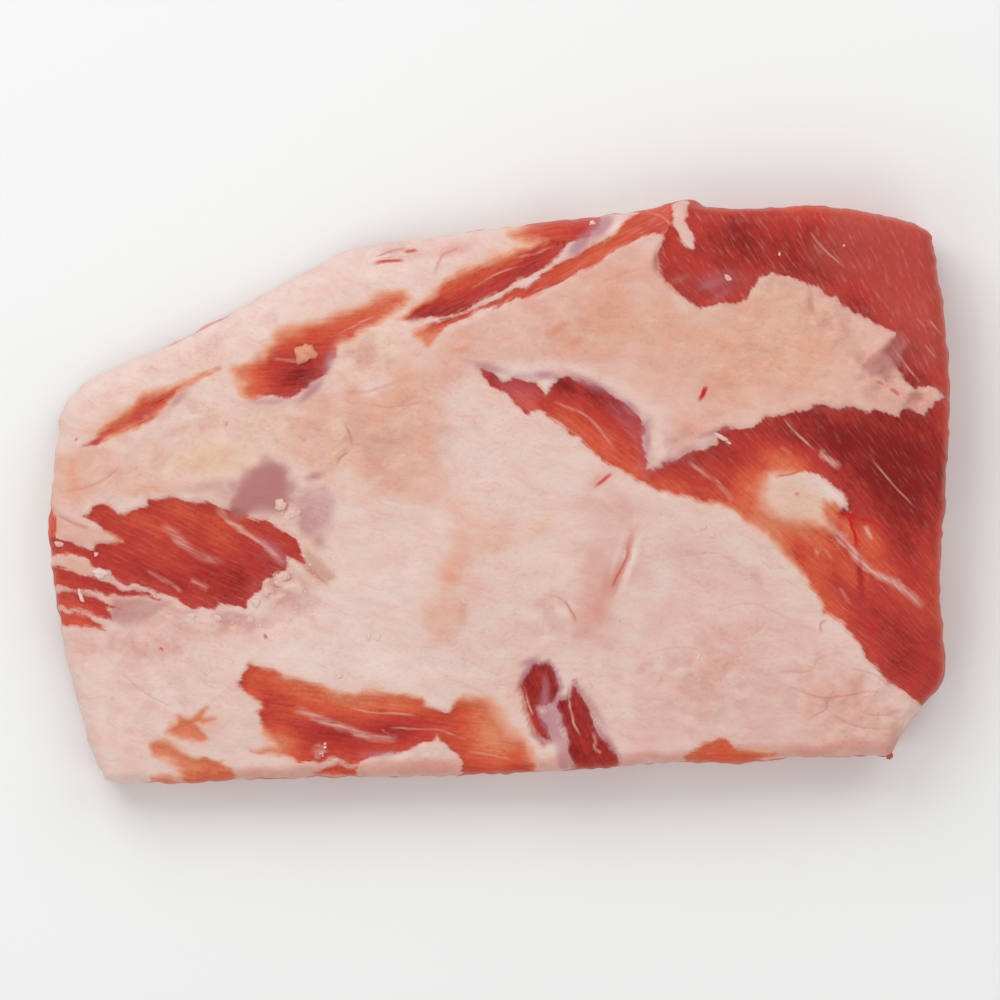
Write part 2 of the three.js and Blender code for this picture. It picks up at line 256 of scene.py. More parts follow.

# Thin films that tint the fat, a few whiter ones painted light: tint, strength, width of the film's edge
# and outline.
FILMS = [
    ("peach", 0.4, 8, [
        (44, 76), (30, 70), (18, 63), (8, 57), (-4, 51), (-14, 47), (-23, 41), (-30, 33), (-26, 26),
        (-16, 27), (-5, 33), (6, 35), (22, 32), (40, 27), (48, 14), (62, 12), (80, 18), (100, 19),
        (122, 18), (124, 32), (112, 42), (104, 54), (84, 64), (70, 64), (60, 51), (50, 53), (48, 60),
    ]),
    ("cream", 0.36, 10, [
        (20, 44), (44, 66), (80, 58), (100, 46), (96, 28), (60, 22), (46, 34), (-4, 40),
    ]),
    ("peach", 0.43, 14, [
        (-22, 40), (-32, 33), (-44, 29), (-56, 24), (-60, 15), (-50, 9), (-44, 5), (-37, 0), (-28, -5),
        (-21, -7), (-14, 0), (-16, 12), (-15, 30),
    ]),
    ("cream", 0.3, 10, [(-24, 36), (-50, 26), (-50, 6), (-36, -4), (-16, -8), (-12, 8), (-14, 26)]),
    ("cream", 0.25, 10, [
        (-26, -4), (-12, 2), (-4, -6), (6, -11), (16, -4), (23, -5), (20, -11), (8, -17), (-4, -20),
        (-7, -26), (-8, -36), (-12, -43), (-22, -40), (-24, -30), (-17, -18), (-10, -12),
    ]),
    ("peach", 0.34, 12, [
        (-18, 4), (-10, 1), (-2, -6), (6, -9), (16, -6), (20, -9), (10, -15), (0, -19), (-5, -24),
        (-6, -34), (-10, -42), (-17, -43), (-21, -34), (-19, -24), (-13, -16), (-14, -6),
    ]),
    ("cream", 0.3, 10, [
        (-125, 12), (-112, 20), (-100, 16), (-88, 21), (-72, 26), (-50, 26), (-50, 12), (-60, 9),
        (-76, 9), (-84, 1), (-100, 0), (-114, -4), (-126, -10),
    ]),
    ("peach", 0.36, 8, [(-127, 14), (-112, 14), (-98, 6), (-86, 4), (-100, 0), (-112, -3), (-127, -10)]),
    ("rose", 0.42, 12, [
        (19, 0), (33, 4), (41, -4), (41, -20), (37, -32), (33, -46), (24, -48), (18, -38), (20, -24),
        (22, -12),
    ]),
    ("rose", 0.32, 14, [
        (45, -12), (66, -14), (80, -26), (96, -46), (112, -62), (106, -74), (30, -78), (36, -56),
        (42, -36),
    ]),
    ("peach", 0.3, 9, [(84, -50), (104, -50), (118, -64), (108, -76), (80, -76)]),
    ("rose", 0.6, 4, [
        (-80, -77), (-60, -75.5), (-12, -74), (34, -71), (80, -69.6), (112, -68), (112, -90), (-80, -90),
    ]),
    ("rose", 0.34, 6, [
        (-121, -37), (-108, -39), (-100, -33), (-86, -34), (-72, -36), (-62, -30), (-56, -24), (-48, -24),
        (-54, -32), (-64, -41), (-80, -40), (-95, -45), (-120, -46),
    ]),
    ("cream", 0.36, 6, [(-46, 42), (-36, 46), (-26, 44), (-26, 34), (-36, 28), (-46, 31)]),
    ("white", 0.2, 9, [(-4, 24), (8, 18), (24, 8), (30, 2), (16, -1), (0, 0), (-10, 4), (-12, 14)]),
    ("white", 0.4, 9, [
        (-60, -26), (-44, -22), (-22, -18), (-22, -26), (-26, -42), (-12, -48), (0, -44), (-4, -54),
        (-30, -55), (-56, -50), (-68, -44),
    ]),
    # A whiter band on the belly edge's roll: painted light, brightening the top where it turns down.
    ("white", 0.45, 9, [
        (-124, 18), (-108, 25), (-95, 33), (-80, 39), (-62, 47), (-48, 55), (-28, 59), (-10, 68), (0, 74),
        (-20, 78), (-60, 66), (-95, 46), (-124, 28),
    ]),
    # The folded flap: its own creamier tone, and whiter partly as a painted highlight on its raised top.
    ("white", 0.32, 1.4, FOLDED_FILM),
    ("cream", 0.9, 1.4, FOLDED_FILM),
    ("lilac", 0.34, 3, [(-4, 33), (4, 31), (10, 30), (13, 26), (8, 22), (2, 27)]),
    ("lilac", 0.34, 3, [(28, 28), (36, 24), (41, 18), (41, 4), (37.4, 8), (35, 17), (28, 24)]),
    ("lilac", 0.4, 2.5, [(40, 4), (41, 21), (42.6, 21), (43, 8), (60, 16), (60, 13)]),
    ("cream", 0.36, 5, [(74, 3), (80, 5), (85, 5), (90, -3), (98, -14), (88, -12), (76, -8)]),
    ("peach", 0.3, 5, [(74, 3), (80, 5), (90, -3), (98, -13), (92, -12), (84, -8), (74, -8)]),
    ("veil", 0.86, 9, [
        (-74.4, 2), (-72, 7.6), (-66, 9.6), (-59, 9), (-57, 4), (-59.6, -2), (-64, -7), (-71, -5),
    ]),
    ("veil", 0.4, 7, [
        (-96, 1), (-84, 3), (-76, 4), (-60, -6), (-56, -11), (-64, -8), (-74, -4), (-96, -1),
    ]),
    ("rose", 0.4, 2, [(-124, -4), (-114, -9), (-103, -13), (-111, -15), (-117, -14), (-124, -12)]),
    ("rose", 0.36, 2, [
        (-124, -16), (-116, -17), (-108, -21), (-96, -28), (-106, -27), (-116, -23), (-124, -20.5),
    ]),
    ("rose", 0.4, 2, [
        (-124, -25), (-108, -27), (-95, -29), (-104, -33), (-108, -38), (-116, -40), (-124, -34),
    ]),
    ("cream", 0.4, 4, [(-124, -4), (-112, -9), (-104, -13), (-124, -13)]),
    ("cream", 0.4, 4, [(-124, -16), (-116, -17), (-108, -22), (-112, -24), (-124, -20)]),
    ("lilac", 0.4, 2, [(-111, -22.6), (-100, -26.2), (-90, -30), (-96, -29), (-106, -25.6), (-112, -24)]),
    ("lilac", 0.5, 2, [(-70, -9.6), (-62, -14), (-57.4, -20.4), (-60.6, -20.6), (-66, -14.6)]),
    ("veil", 0.54, 4, [(-108, -29), (-99, -29), (-90, -31), (-96, -35), (-104, -38), (-108, -36)]),
    ("peach", 0.36, 3, [(47, 82), (53, 82), (52, 74), (55, 67), (48, 72)]),
    ("veil", 0.27, 12, [(94, 88), (132, 88), (132, 26), (114, 34), (106, 48), (86, 60), (84, 66)]),
    ("veil", 0.6, 3, [(110.6, 43.6), (100.2, 34.8), (102.6, 31.2), (107, 31.4), (112, 34), (112.6, 40)]),
    ("rose", 0.4, 4, [(98, 30), (106, 30), (116, 28.6), (122, 28), (121, 23), (110, 20), (100, 24)]),
    ("veil", 0.46, 2, FLANK_FLAP),
    ("cream", 0.4, 2, FLANK_FLAP),
    ("lilac", 0.46, 5, [(-58, 3), (-48, 4), (-44, -2), (-45, -9), (-50, -15), (-57, -10)]),
    ("lilac", 0.7, 2.4, [
        (11.8, -61.6), (14.3, -59.4), (16.5, -59.4), (17.2, -62.3), (17.4, -66), (18.8, -69), (19.4, -73),
        (19.6, -77), (16.6, -77), (14.6, -70.6), (13.6, -65.8), (12.4, -63.8),
    ]),
    ("lilac", 0.65, 2.4, [
        (12.6, -50), (13.8, -52), (14.4, -55.4), (14, -59), (11, -60.4), (11.4, -57), (12.4, -54),
    ]),
]
FILM_WOBBLE = 0.35  # as a share of the edge's width
WOBBLE_PATCHES = (9, 58)  # size and seed
SMALL_PATCHES = (8, 61)
LARGE_PATCHES = (20, 64)

# Soft round spots of the same tints: x, y, reach along, reach across, heading, strength.
TINT_SPOTS = {
    "peach": [
        (16, 45, 7, 2.2, 28, 0.62), (22, 42, 5, 2, 20, 0.5), (-10, 39.5, 5, 1.8, 22, 0.6),
        (2, 42, 8, 2, 20, 0.5), (73, 32, 8, 6, 0, 0.55), (90, 38, 6, 4, 0, 0.42), (56, 33, 6, 5, 0, 0.4),
        (-40, 22, 6, 5, 0, 0.42), (-47, 6, 4, 5, 0, 0.4), (27, -31, 5, 5, 0, 0.4),
        (-30, 6, 8, 4, -10, 0.45), (-13, -23, 5, 6, 15, 0.46), (-10.4, -33, 2.2, 6, -6, 0.5),
        (-8, -27, 6, 7, 0, 0.32), (-15.4, -30, 2, 5, 10, 0.4), (100, -64, 9, 4, -20, 0.3),
        (59, -49, 6, 3, 0, 0.3), (-108, 20, 8, 3, 30, 0.35), (-118, 3, 4, 9, 0, 0.5),
        (5, -55, 4, 10, 0, 0.4), (-82, -66, 7, 4, 0, 0.4), (-27, 65, 8, 2, 6, 0.45),
        (-20, -76, 14, 2, 0, 0.4), (-97, 1, 12, 2.5, 5, 0.5),
    ],
    "rose": [
        (31, -24, 3, 9, -24, 0.7), (27, -32, 4, 6, 0, 0.5), (36, -8, 3, 8, 0, 0.4),
        (13, -31, 4, 3, 0, 0.4), (-15, 67.5, 10, 3, 7, 0.6), (-5, 66, 8, 3, 10, 0.3),
        (-75, 50, 20, 2, 27, 0.36), (57, 27, 3, 4, 0, 0.5), (72, -23, 4, 2, -50, 0.4),
        (108, -68, 6, 4, 0, 0.4), (28, 3, 6, 3, 40, 0.45), (46, -66, 10, 5, 0, 0.3),
        (-92, -42, 8, 3, 0, 0.36), (-66, -39, 6, 3, 20, 0.36),
    ],
    "cream": [
        (-79, 8.5, 14, 7, 0, 0.62), (-62, 17, 8, 4, 0, 0.25), (-118, 2, 5, 8, 0, 0.3),
        (-50, -22, 6, 4, -40, 0.4),
    ],
    "white": [
        (13.5, 28, 1.2, 3.5, 5, 0.8), (4, 54.5, 18, 1.3, 29, 0.9), (24, 67.5, 8, 1.1, 38, 0.3),
        (33, 74, 6, 1.1, 30, 0.7), (92, 0.6, 6, 1.6, -44, 0.7), (24, 33, 9, 1.6, -20, 0.5),
        (-52, -6, 5, 3, 0, 0.5), (36.8, -19, 9, 1.1, 72, 0.7), (32.8, -17, 8, 1, 72, 0.5),
        (-30, 65.2, 6, 1.1, 8, 0.8), (-33, 31, 6, 4, 0, 0.45), (-24, -73, 8, 2, 8, 0.4),
        (14, -20, 8, 5, 0, 0.4), (-92, -56, 16, 8, 0, 0.3), (60, -30, 14, 4, -20, 0.3),
    ],
    "veil": [
        (-51, 4.2, 3.4, 1.5, 12, 0.62), (-54, -10, 5, 2, -45, 0.5), (-50, -14, 2.6, 3, 25, 0.5),
        (-90, -33, 10, 1.4, -8, 0.4), (-72, -34.5, 7, 1.4, -12, 0.45), (-52, -22, 6, 1.6, -45, 0.5),
        (86, 52, 1, 4, 10, 0.5), (58, 57, 4, 1.4, 15, 0.45), (50, 59, 4, 1.4, 20, 0.45),
        (43.4, 63.5, 0.9, 3, 0, 0.8), (-96, -44, 8, 2.4, 10, 0.25), (-90, 17, 7, 3, 20, 0.3),
        (71, -24, 4, 1.4, -50, 0.35), (95.4, -4.8, 1, 1, 20, 0.6), (-38, 36, 8, 6, 0, 0.24),
        (-62, 23.6, 10, 1.2, 4, 0.3),
    ],
    "lilac": [
        (-3, 34.5, 7, 1.3, -15, 0.7), (8, 32, 6, 1.2, 0, 0.6), (26, 29.6, 9, 1.4, -25, 0.75),
        (36.4, 23.4, 5, 1.6, -40, 0.7), (40.8, 15, 1.4, 6, 2, 0.9), (41.6, 19.5, 1.4, 3, 10, 0.5),
        (12.7, 32.2, 4, 1.4, 0, 0.8), (47, 8.3, 6, 1.1, 28, 0.5), (-47, 36, 1.4, 4, -20, 0.8),
        (-52, 28, 5, 1.3, 42, 0.8), (-63, 25, 9, 1.2, 2, 0.6), (-88.5, 26, 5, 1.3, 42, 0.7),
        (8.5, -47.2, 3.4, 1.4, 20, 0.7), (26.6, -60.6, 1.2, 9, 30, 0.6), (23, 69, 5.4, 1.8, 44, 0.9),
        (28, 73.2, 4.4, 2, 45, 1.2), (62, 55, 5, 1.4, 30, 0.4), (56, 78.8, 6, 0.8, -8, 0.5),
        (60, 16.5, 7, 1, 18, 0.6), (92, 22.8, 12, 0.8, 0, 0.4), (-33, -72.8, 6, 1.1, 5, 0.5),
        (-72, -36, 10, 1.6, -10, 0.36), (60, 58.4, 9, 4, 10, 0.4),
    ],
}

# Where the fat is crumbly, with the same values.
CRUMBLE_SPOTS = [
    (105, 33, 8, 5, -20, 1.5), (114, 26, 7, 3, -10, 1.5), (92, 46, 9, 6, -30, 0.8),
    (50, 13, 8, 6, 20, 0.8), (-60, -26, 9, 5, -35, 1.3), (-80, -36, 18, 3, -8, 1),
    (-54, -7, 6, 5, 0, 1.2), (-30, 66, 8, 3, 5, 0.8), (-22, -74, 10, 2.5, 0, 0.6), (76, 56, 8, 4, 0, 0.6),
    (108, -62, 8, 7, 0, 0.6), (-85, 20, 12, 5, 10, 0.5), (14, -34, 8, 8, 0, 0.5),
    (-98, -44, 14, 5, 0, 0.6), (-36, 36, 8, 6, 0, 0.8), (-100, 8, 22, 8, 5, 0.35),
    (-60, 18, 14, 8, 0, 0.4), (-30, 12, 16, 14, 0, 0.55), (15, 45, 30, 8, 25, 0.35),
    (72, 36, 24, 12, -10, 0.45), (96, -58, 18, 10, -20, 0.6), (55, -52, 20, 12, 0, 0.45),
    (-92, -58, 20, 14, 0, 0.3), (-80, 42, 40, 4, 28, 0.3),
]

# Where the lean is a deeper red, where it is a paler orange, and how uneven it is.
DEEP_SPOTS = [
    (112, 5, 12, 18, 20, 0.85), (98, 15, 14, 6, -20, 0.85), (84, 16, 10, 4, -15, 0.5),
    (110, -14, 5, 6, 0, 0.3), (113, -46, 7, 9, 0, 0.2), (68, 68, 14, 7, -12, 0.55),
    (86, 68, 10, 6, -12, 0.4), (112, 36, 6, 8, 0, 0.2), (84, 62, 16, 5, -15, 0.42),
    (56, 57, 8, 5, 0, 0.35), (98, 53, 8, 4, -35, 0.4), (115, 29, 5, 5, 0, 0.5), (119, 20, 4, 5, 0, 0.4),
    (-54, 32, 6, 4, 10, 0.75), (-76, -24, 14, 7, -25, 0.45), (-95, -22, 12, 4, -25, 0.55),
    (-67, -18, 8, 4, -35, 0.4), (-15, 50.6, 10, 2, 14, 0.4), (4, 60, 10, 2, 30, 0.3),
    (-46, -67, 10, 3, -8, 0.7), (-30, -66, 8, 3, 0, 0.55), (-60, -63, 6, 4, 0, 0.4),
    (30, 25, 8, 3, -32, 0.55), (18, 29, 5, 2.5, -25, 0.6), (66, 12, 9, 4, 20, 0.5),
    (-1, 32, 4, 1.6, -30, 0.3), (-115, -25, 8, 2, -16, 0.3), (95.5, -4.9, 1.3, 1.3, 0, 3),
    (100, -23, 0.8, 5, 5, 1.3),
]
ORANGE_LEAN_SPOTS = [
    (26, 14, 14, 5, -38, 0.85), (36, 6, 8, 3, -35, 0.8), (6, 25.5, 6, 3.5, -30, 0.6),
    (48, 1, 8, 3, -12, 0.75), (60, -1, 9, 4, -15, 0.7), (68, -4, 6, 4, -30, 1.3),
    (75, -9.5, 9, 5.4, -35, 1.7), (70, 1, 5, 7, -20, 1.3), (87, -13, 9, 3.4, -32, 1.3),
    (79, 7.8, 9, 4, -25, 1.3), (92, -6, 3, 6, 35, 1.6), (88, -19, 8, 5, -45, 0.95),
    (86, -23, 8, 5, -50, 1), (92, -31, 8, 5, -50, 0.75), (101, -42, 8, 3, -45, 0.65),
    (102.6, -13, 4, 7, 25, 1.3), (96.6, -10.6, 2.4, 5, 30, 1.4), (70, 9, 8, 3, -35, 0.5),
    (56, 4, 8, 3, 20, 0.5), (98, -23, 7, 5, -40, 0.85), (106, -20, 6, 4, -40, 0.7),
    (112, -31, 8, 4, -40, 0.4), (-58, -53.6, 12, 3.4, -18, 0.8), (-42, -57.8, 14, 3.6, -4, 0.85),
    (-27, -59, 9, 3.2, 0, 0.75), (-6, -61, 5, 5, 0, 0.7), (-1, -68, 7, 8, 0, 1.15),
    (-60, -69, 6, 4, -30, 1), (-55, -62, 8, 3, -10, 0.4), (-68, -54, 3, 5, 0, 0.4),
    (-98, -9, 12, 4, -22, 0.6), (-84, -7, 12, 3, -15, 0.4), (-76, -14, 10, 3, -27, 0.45),
    (-118, -34, 6, 6, 0, 0.3), (-101, -16, 8, 3, -20, 0.5), (-88, -13, 5, 3, -27, 0.4),
    (-14, 57, 10, 2.5, 27, 0.7), (0, 63.5, 9, 2.5, 25, 0.7), (12, 68, 7, 2.5, 25, 0.3),
    (-21, 42.5, 5, 3, 0, 1), (-71, 31, 5, 6, 0, 1.2), (-58, 43.5, 10, 2.5, 25, 0.85),
    (-38, 50, 13, 3.5, 24, 0.95), (-103, 23, 12, 2.2, 36, 0.85), (-87, 31, 8, 1.8, 24, 0.8),
    (34, 72, 9, 3.5, 30, 0.3), (46, 76, 6, 5, 0, 0.3), (114, 58, 8, 16, 10, 0.1),
    (122, 40, 2.5, 30, 0, 0.2), (90, 77.5, 30, 2.2, -4, 0.25), (121, -20, 4, 22, 0, 0.5),
    (8, 72, 8, 2, 15, 0.3),
]
RED_UNEVEN = 0.25
RED_PATCHES = (9, 70)  # size and seed

# Lines drawn on the surface: half width, strength and the points they pass through.
LINE_TAPER = 5  # a higher power keeps a line strong nearer to its ends
LINE_SPREAD = 1.2  # how far a line reaches, in half widths, and then by a margin
LINE_MARGIN = 0.9
LINE_FADE = 0.4
SINEWS = [
    (1.4, 0.6, [(-93.8, -9.2), (-90.4, -11.7), (-86.4, -15.1), (-81.9, -17.9), (-75.7, -19.6)]),
    (1, 0.8, [
        (-78.5, -4.4), (-74.6, -8.3), (-70.6, -11.2), (-66.1, -13.9), (-62.1, -17.4), (-58.7, -21.1),
    ]),
    (0.6, 0.6, [(-97.7, -21.6), (-92.7, -24.7), (-87.6, -27.8)]),
    (1.2, 0.5, [(-85.6, -24.4), (-83, -25.6), (-80.4, -26.8)]),
    (1.3, 0.85, [
        (-57.1, -60.4), (-49.3, -63.2), (-43, -65.4), (-38.5, -66.8), (-33.5, -68.2), (-28, -69),
    ]),
    (1.7, 0.6, [(-51.6, -73), (-49.8, -72), (-48.4, -70.6)]),
    (0.4, 0.6, [(-41.7, -60.1), (-32.5, -61.4), (-23.1, -61.8)]),
    (0.4, 0.55, [(-30.2, -65.4), (-24.5, -65.8), (-17.4, -66), (-9, -68.8)]),
    (0.4, 0.45, [(-9, -72), (-2.8, -72.8), (4, -74.5)]),
    (0.8, 0.5, [(52, 8.5), (59, 3.5), (65, -3)]),
    (0.4, 0.7, [(78.5, 20.5), (83, 15.5), (88, 11)]),
    (1.2, 0.9, [(88.4, 11.4), (91, 9.2), (94.6, 6.2)]),
    (0.35, 0.5, [(103, 9), (109, 2), (115.5, -4.5)]),
    (1.4, 1, [
        (90.8, -8.4), (95.4, -13.4), (97.7, -16.2), (101.6, -20.1), (104.5, -22.5), (109, -24.8),
        (112, -27.4), (118.5, -31.5),
    ]),
    (0.8, 0.9, [(101.5, -9.4), (102.4, -11.4), (103.4, -13.4)]),
    (0.35, 0.6, [(108.2, 41), (112.5, 35), (117, 29.6)]),
    (1.1, 0.35, [(110.6, 44.4), (111.6, 42), (112.6, 39.2)]),
    (0.35, 0.5, [(117.6, 41), (121, 37)]),
    (0.35, 0.5, [(119.2, 47.6), (123, 42.8)]),
    (0.35, 0.5, [(115.5, 48.2), (118, 45.6)]),
    (0.7, 0.5, [(87.4, -15.6), (88.4, -17.6)]),
    (0.4, 0.5, [(90.2, -16), (92.4, -18.8)]),
    (0.6, 0.4, [(94.2, -26.6), (97.4, -31)]),
    (0.7, 0.5, [(78.2, 12.4), (81, 10.2)]),
    (0.4, 0.5, [(86, 72), (90.5, 66.5), (96, 62)]),
    (0.5, 0.5, [(15, 25), (24, 21), (32, 12)]),
    (0.4, 0.4, [(12, 21.5), (20, 17), (29, 8.5)]),
    (0.35, 0.8, [(7, -54), (8.2, -58.4), (9.6, -62)]),
    (0.45, 0.8, [(19, -56.6), (20.5, -63.2), (22.4, -67.8)]),
    (0.6, 0.7, [(25.8, -66.6), (26.9, -69.2), (26.4, -71), (28.4, -72.6)]),
    (0.6, 0.6, [(-62.6, 36.9), (-55.5, 36.3)]),
    (0.4, 0.6, [(41.5, 77.3), (45.5, 76), (48, 73.5)]),
    (0.4, 0.5, [(-8, 56), (0, 60.5), (6, 62.5)]),
    (0.5, 0.5, [(4, 64.5), (10, 66), (15, 68)]),
    (0.4, 0.5, [(-44, 43.8), (-39, 46.5), (-34, 48.6)]),
]
VEINS = [
    (0.8, 1, [(95, -4.4), (96.4, -6.1), (98.2, -6.4), (99.2, -8)]),
    (0.5, 1, [(96.2, -6.1), (97.5, -8.8), (98.6, -12.8), (99.1, -16)]),
    (0.5, 0.5, [(99.1, -16), (100.4, -20), (100, -24.5), (99, -29)]),
    (0.4, 0.7, [(99.2, -8), (101, -7.7), (103.5, -8.6), (106.4, -9.8)]),
    (0.35, 0.5, [(76, 4), (80, 4.6), (85, 6.3)]),
    (0.6, 0.5, [(82, -0.4), (83, -0.8)]),
    (0.7, 0.6, [(102.5, -36), (104, -39)]),
    (0.7, 1, [(55.6, 25), (57.4, 29.4)]),
    (0.6, 0.8, [(26.5, 1.6), (31.2, 5)]),
    (0.35, 0.25, [(79.2, -53.5), (89.9, -57), (102.3, -55.3), (106.8, -56.2)]),
    (0.35, 0.3, [(89.9, -57), (90.8, -59.7), (86.3, -62.8)]),
    (0.4, 0.4, [(91, -35.5), (88.8, -36.5), (89.5, -39)]),
    (0.6, 0.7, [(-65.4, -39.6), (-64.2, -40.8)]),
    (0.5, 0.7, [(-94.2, -43.4), (-93, -43.9)]),
    (0.5, 0.7, [(-117.4, 14), (-116.8, 14.8)]),
    (0.5, 0.5, [(-92.5, 40), (-84, 44.5), (-74, 49.8)]),
    (0.5, 0.5, [(-75.8, 18.2), (-75.2, 19)]),
    (0.4, 0.5, [(36, -15), (34.5, -20), (31, -27)]),
    (0.4, 0.4, [(18, -30), (20, -33), (21.5, -36)]),
    (0.5, 0.3, [(-11, 67.4), (-15.8, 65.2), (-18, 60)]),
    (0.5, 0.6, [(-33.5, -60.5), (-31, -60.8)]),
    (0.5, 0.7, [(-34, 63.3), (-30.5, 63.9), (-26.6, 63.8)]),
    (0.5, 0.55, [(-26, 66.6), (-22.8, 67)]),
    (0.6, 0.35, [(108.4, 28.6), (111.2, 26.4)]),
    (0.4, 0.3, [(104.6, 30.6), (106.6, 29.8)]),
]
# Creases are grooves drawn in a darker pink, which is partly painted shade; along the flaps' edges and in
# the cracks by the belly rim it is a painted shadow.
CREASE_AND_SHADOW_LINES = [
    (0.9, 0.7, [(37, -10), (35.5, -18), (30.5, -30)]),
    (0.5, 0.4, [(12, -28.5), (17, -29.5), (19.5, -33), (21.5, -37)]),
    (0.5, 0.7, [(-43, 19), (-41.2, 15.4), (-40.4, 12)]),
    (0.5, 0.9, [(-41.6, 11), (-43.6, 9.6), (-45, 7.4)]),
    (0.5, 0.8, [(-54.4, -20.6), (-50.6, -23.4), (-47.2, -25.8)]),
    (0.6, 0.6, [(105.9, 39), (103.2, 36.4), (100.4, 33.4)]),
    (0.5, 0.8, [(104.6, 30.6), (106.6, 29.8)]),
    (0.6, 1, [(108, 28.4), (110.6, 26.8)]),
    (0.6, 1, [(-34.8, 63.2), (-30.5, 64), (-26.3, 63.8)]),
    (0.6, 0.9, [(-26.6, 66.5), (-22.6, 67)]),
    (0.35, 0.9, [(-34.2, 65), (-30, 66.6), (-25.6, 67.8)]),
    (0.5, 0.7, [(-122.5, -6.5), (-119, -8.5), (-113.5, -10.5)]),
    (0.5, 0.5, [(-121, 0), (-111.5, 2), (-105, 7)]),
    (0.6, 0.4, [(-26, 31), (-36, 28), (-44, 27)]),
    (0.5, 0.5, [(85.5, 58), (87, 51), (88, 46.5)]),
    (0.5, 0.3, [(40, 62), (34, 60), (28, 58)]),
    (0.35, 0.4, [(77.4, -49.9), (86.3, -49.5), (88.1, -46.4), (93.4, -44.6)]),
    (0.35, 0.5, [(91.6, -61.5), (98.8, -65), (107.7, -65.9)]),
    (0.35, 0.4, [(97, -49), (104.1, -50.8), (109.5, -55.3)]),
    (0.35, 0.25, [(60, -33), (70, -31), (80, -35)]),
    (0.35, 0.4, [(100.5, -61.5), (106.8, -61.9), (111.2, -60.6)]),
    (0.4, 0.35, [(-20, 25), (-30, 23.4), (-37, 24.4)]),
    (0.35, 0.3, [(-105, -50), (-98, -56), (-90, -60)]),
    (0.35, 0.25, [(50, -18), (60, -17), (70, -22)]),
    (0.35, 0.25, [(40, -45), (52, -43), (62, -48)]),
]

# Bits lying on the surface: x, y, length, width, heading, and their colour from 0, white,
# over 1, peach, to 2, red.
BITS = [
    (-53.9, 38, 5.4, 5.2, 20, 1.1), (-110.5, -22.8, 5, 2.6, -10, 0), (-115.8, -28.7, 3.4, 1.1, -70, 0.2),
    (-111.5, -17.4, 1.2, 1.2, 0, 0.3), (-121.5, -14.6, 2.4, 2, 0, 0.5), (25.5, 74, 2, 1.3, 20, 0),
    (78, 65.7, 0.7, 1.2, 0, 0), (95.8, 68, 0.6, 0.6, 0, 0), (60.5, 15.5, 5, 1.4, -30, 0.35),
    (63, 14.2, 3, 1, -40, 0.35), (-60.5, -4, 4, 3, 20, 0.4), (108.4, -73.2, 2.1, 2, 0, 1.7),
    (63.6, 59.4, 3, 1.2, -40, 0.5), (-9.7, -30.2, 2.6, 0.9, -55, 0.3), (-35.6, -39.5, 3.2, 0.8, 80, 0.2),
    (-33.6, -40.4, 2.4, 0.8, 68, 0.2), (56.6, -10.4, 2.4, 1, 30, 0.3), (59, -12, 1.8, 0.8, -20, 0.3),
    (55.4, -45.6, 2.4, 0.9, 75, 0.3), (54, -47.8, 1.8, 0.8, 60, 0.3), (-44, -51, 2, 0.9, 20, 0.3),
]
BIT_HEIGHT = 0.3  # as a share of a bit's smaller side
SMALL_BIT = 1  # bits no longer than this have fewer faces
BIT_LUMPS = [(0.2, 3.1, 0, 1), (0.16, 0, 4.3, 2.1), (0.12, 7, -5, 1)]  # height, along, across, phase
BIT_DENTS = [(0.3, 5, 3, 1)]
BIT_FLATNESS = 0.8
SEED_STEP = 1.7

# Rows of fat strands: start, end, how many, length, width and heading.
FRINGES = [
    ((-67, -30), (-58, -23), 4, 3.2, 2, -36), ((-86, -34.3), (-70, -35.8), 3, 2.6, 1.6, -25),
]
FRINGE_JITTER = 0.3
FRINGE_SIZES = (0.7, 1.3)
FRINGE_TURN = 15
FRINGE_TINTS = (0.2, 0.5)

# Fields of crumbs: x, y, reach along and across, and how many.
CRUMB_FIELDS = [
    (-56, -25, 12, 7, 12), (-78, -37, 20, 3, 10), (-57, -6, 8, 4, 6), (40, -35, 30, 15, 5),
    (-85, -55, 30, 15, 5), (-50, -72.6, 5, 2.4, 5),
]
CRUMB_SIZES = (0.4, 0.9)
CRUMB_LENGTH = 1.2  # as a share of such a size
CRUMB_TINTS = (0.1, 0.4)
CRUMB_SEED = 11

# Relief: the step down into a window, its lip of fat, fibres, lines and soft bumps.
LEAN_STEP = 1.1
STEP_REACH = 3.0  # how far inside a window the lean lies at its full depth
EDGE_STEP = 0.4  # the share of the step right at the edge
TORN_EDGE_WIDTH = 2.0
CRISP_FADE = 1.0  # edges this narrow have a full lip
SOFT_FADE = 2.2  # and edges this wide have none
FAT_LIP = 0.2
LIP_PLACE = 1.1
LIP_WIDTH = 0.9
FIBRE_RIDGES = [(9, 2.3, 0.16, 41), (7, 1.4, 0.096, 42)]  # length to width, size, height, seed
CREASE_DEPTH = 0.55
SINEW_RIDGE = 0.2
FAT_BUMPS = [(14, 0.3, 31), (6, 0.12, 32), (2.6, 0.1, 33)]  # size, height, seed

# The thin film on the fat, and its folds.
FILM_RISE = 0.35  # how far the peach film lies above the paler fat
FILM_HEADING = -14  # the thin film on the fat folds along this direction
FILM_SCALE = (0.11, 0.25, 0.25)  # folds a millimetre, along, across and down the wall
FILM_WARP = (4, 2)  # how far large and small patches push the folds aside
FOLDS = (0.9, 82)  # size and seed
FOLD_HEIGHT = 0.08
FOLD_LEVEL = 0.6

# Lumps of the crumbly fat, painted shade in the gaps between them, and its grain.
LUMPS = (3.2, 75)  # size of the crumbly fat's lumps, and seed
LUMP_HEIGHT = 1.0
GAP_SHADE_TINTS = {"veil": 0.4, "peach": 0.3}  # painted shade, brown and peach, in the gaps between lumps
GAP_LEVEL = 0.3
GAP_STEEPNESS = 1.6
GRAIN_LEAST = 0.3  # how grainy the fat is, at least and in patches
GRAIN_PATCHES = 0.5
GRAIN_LEVEL = 0.4

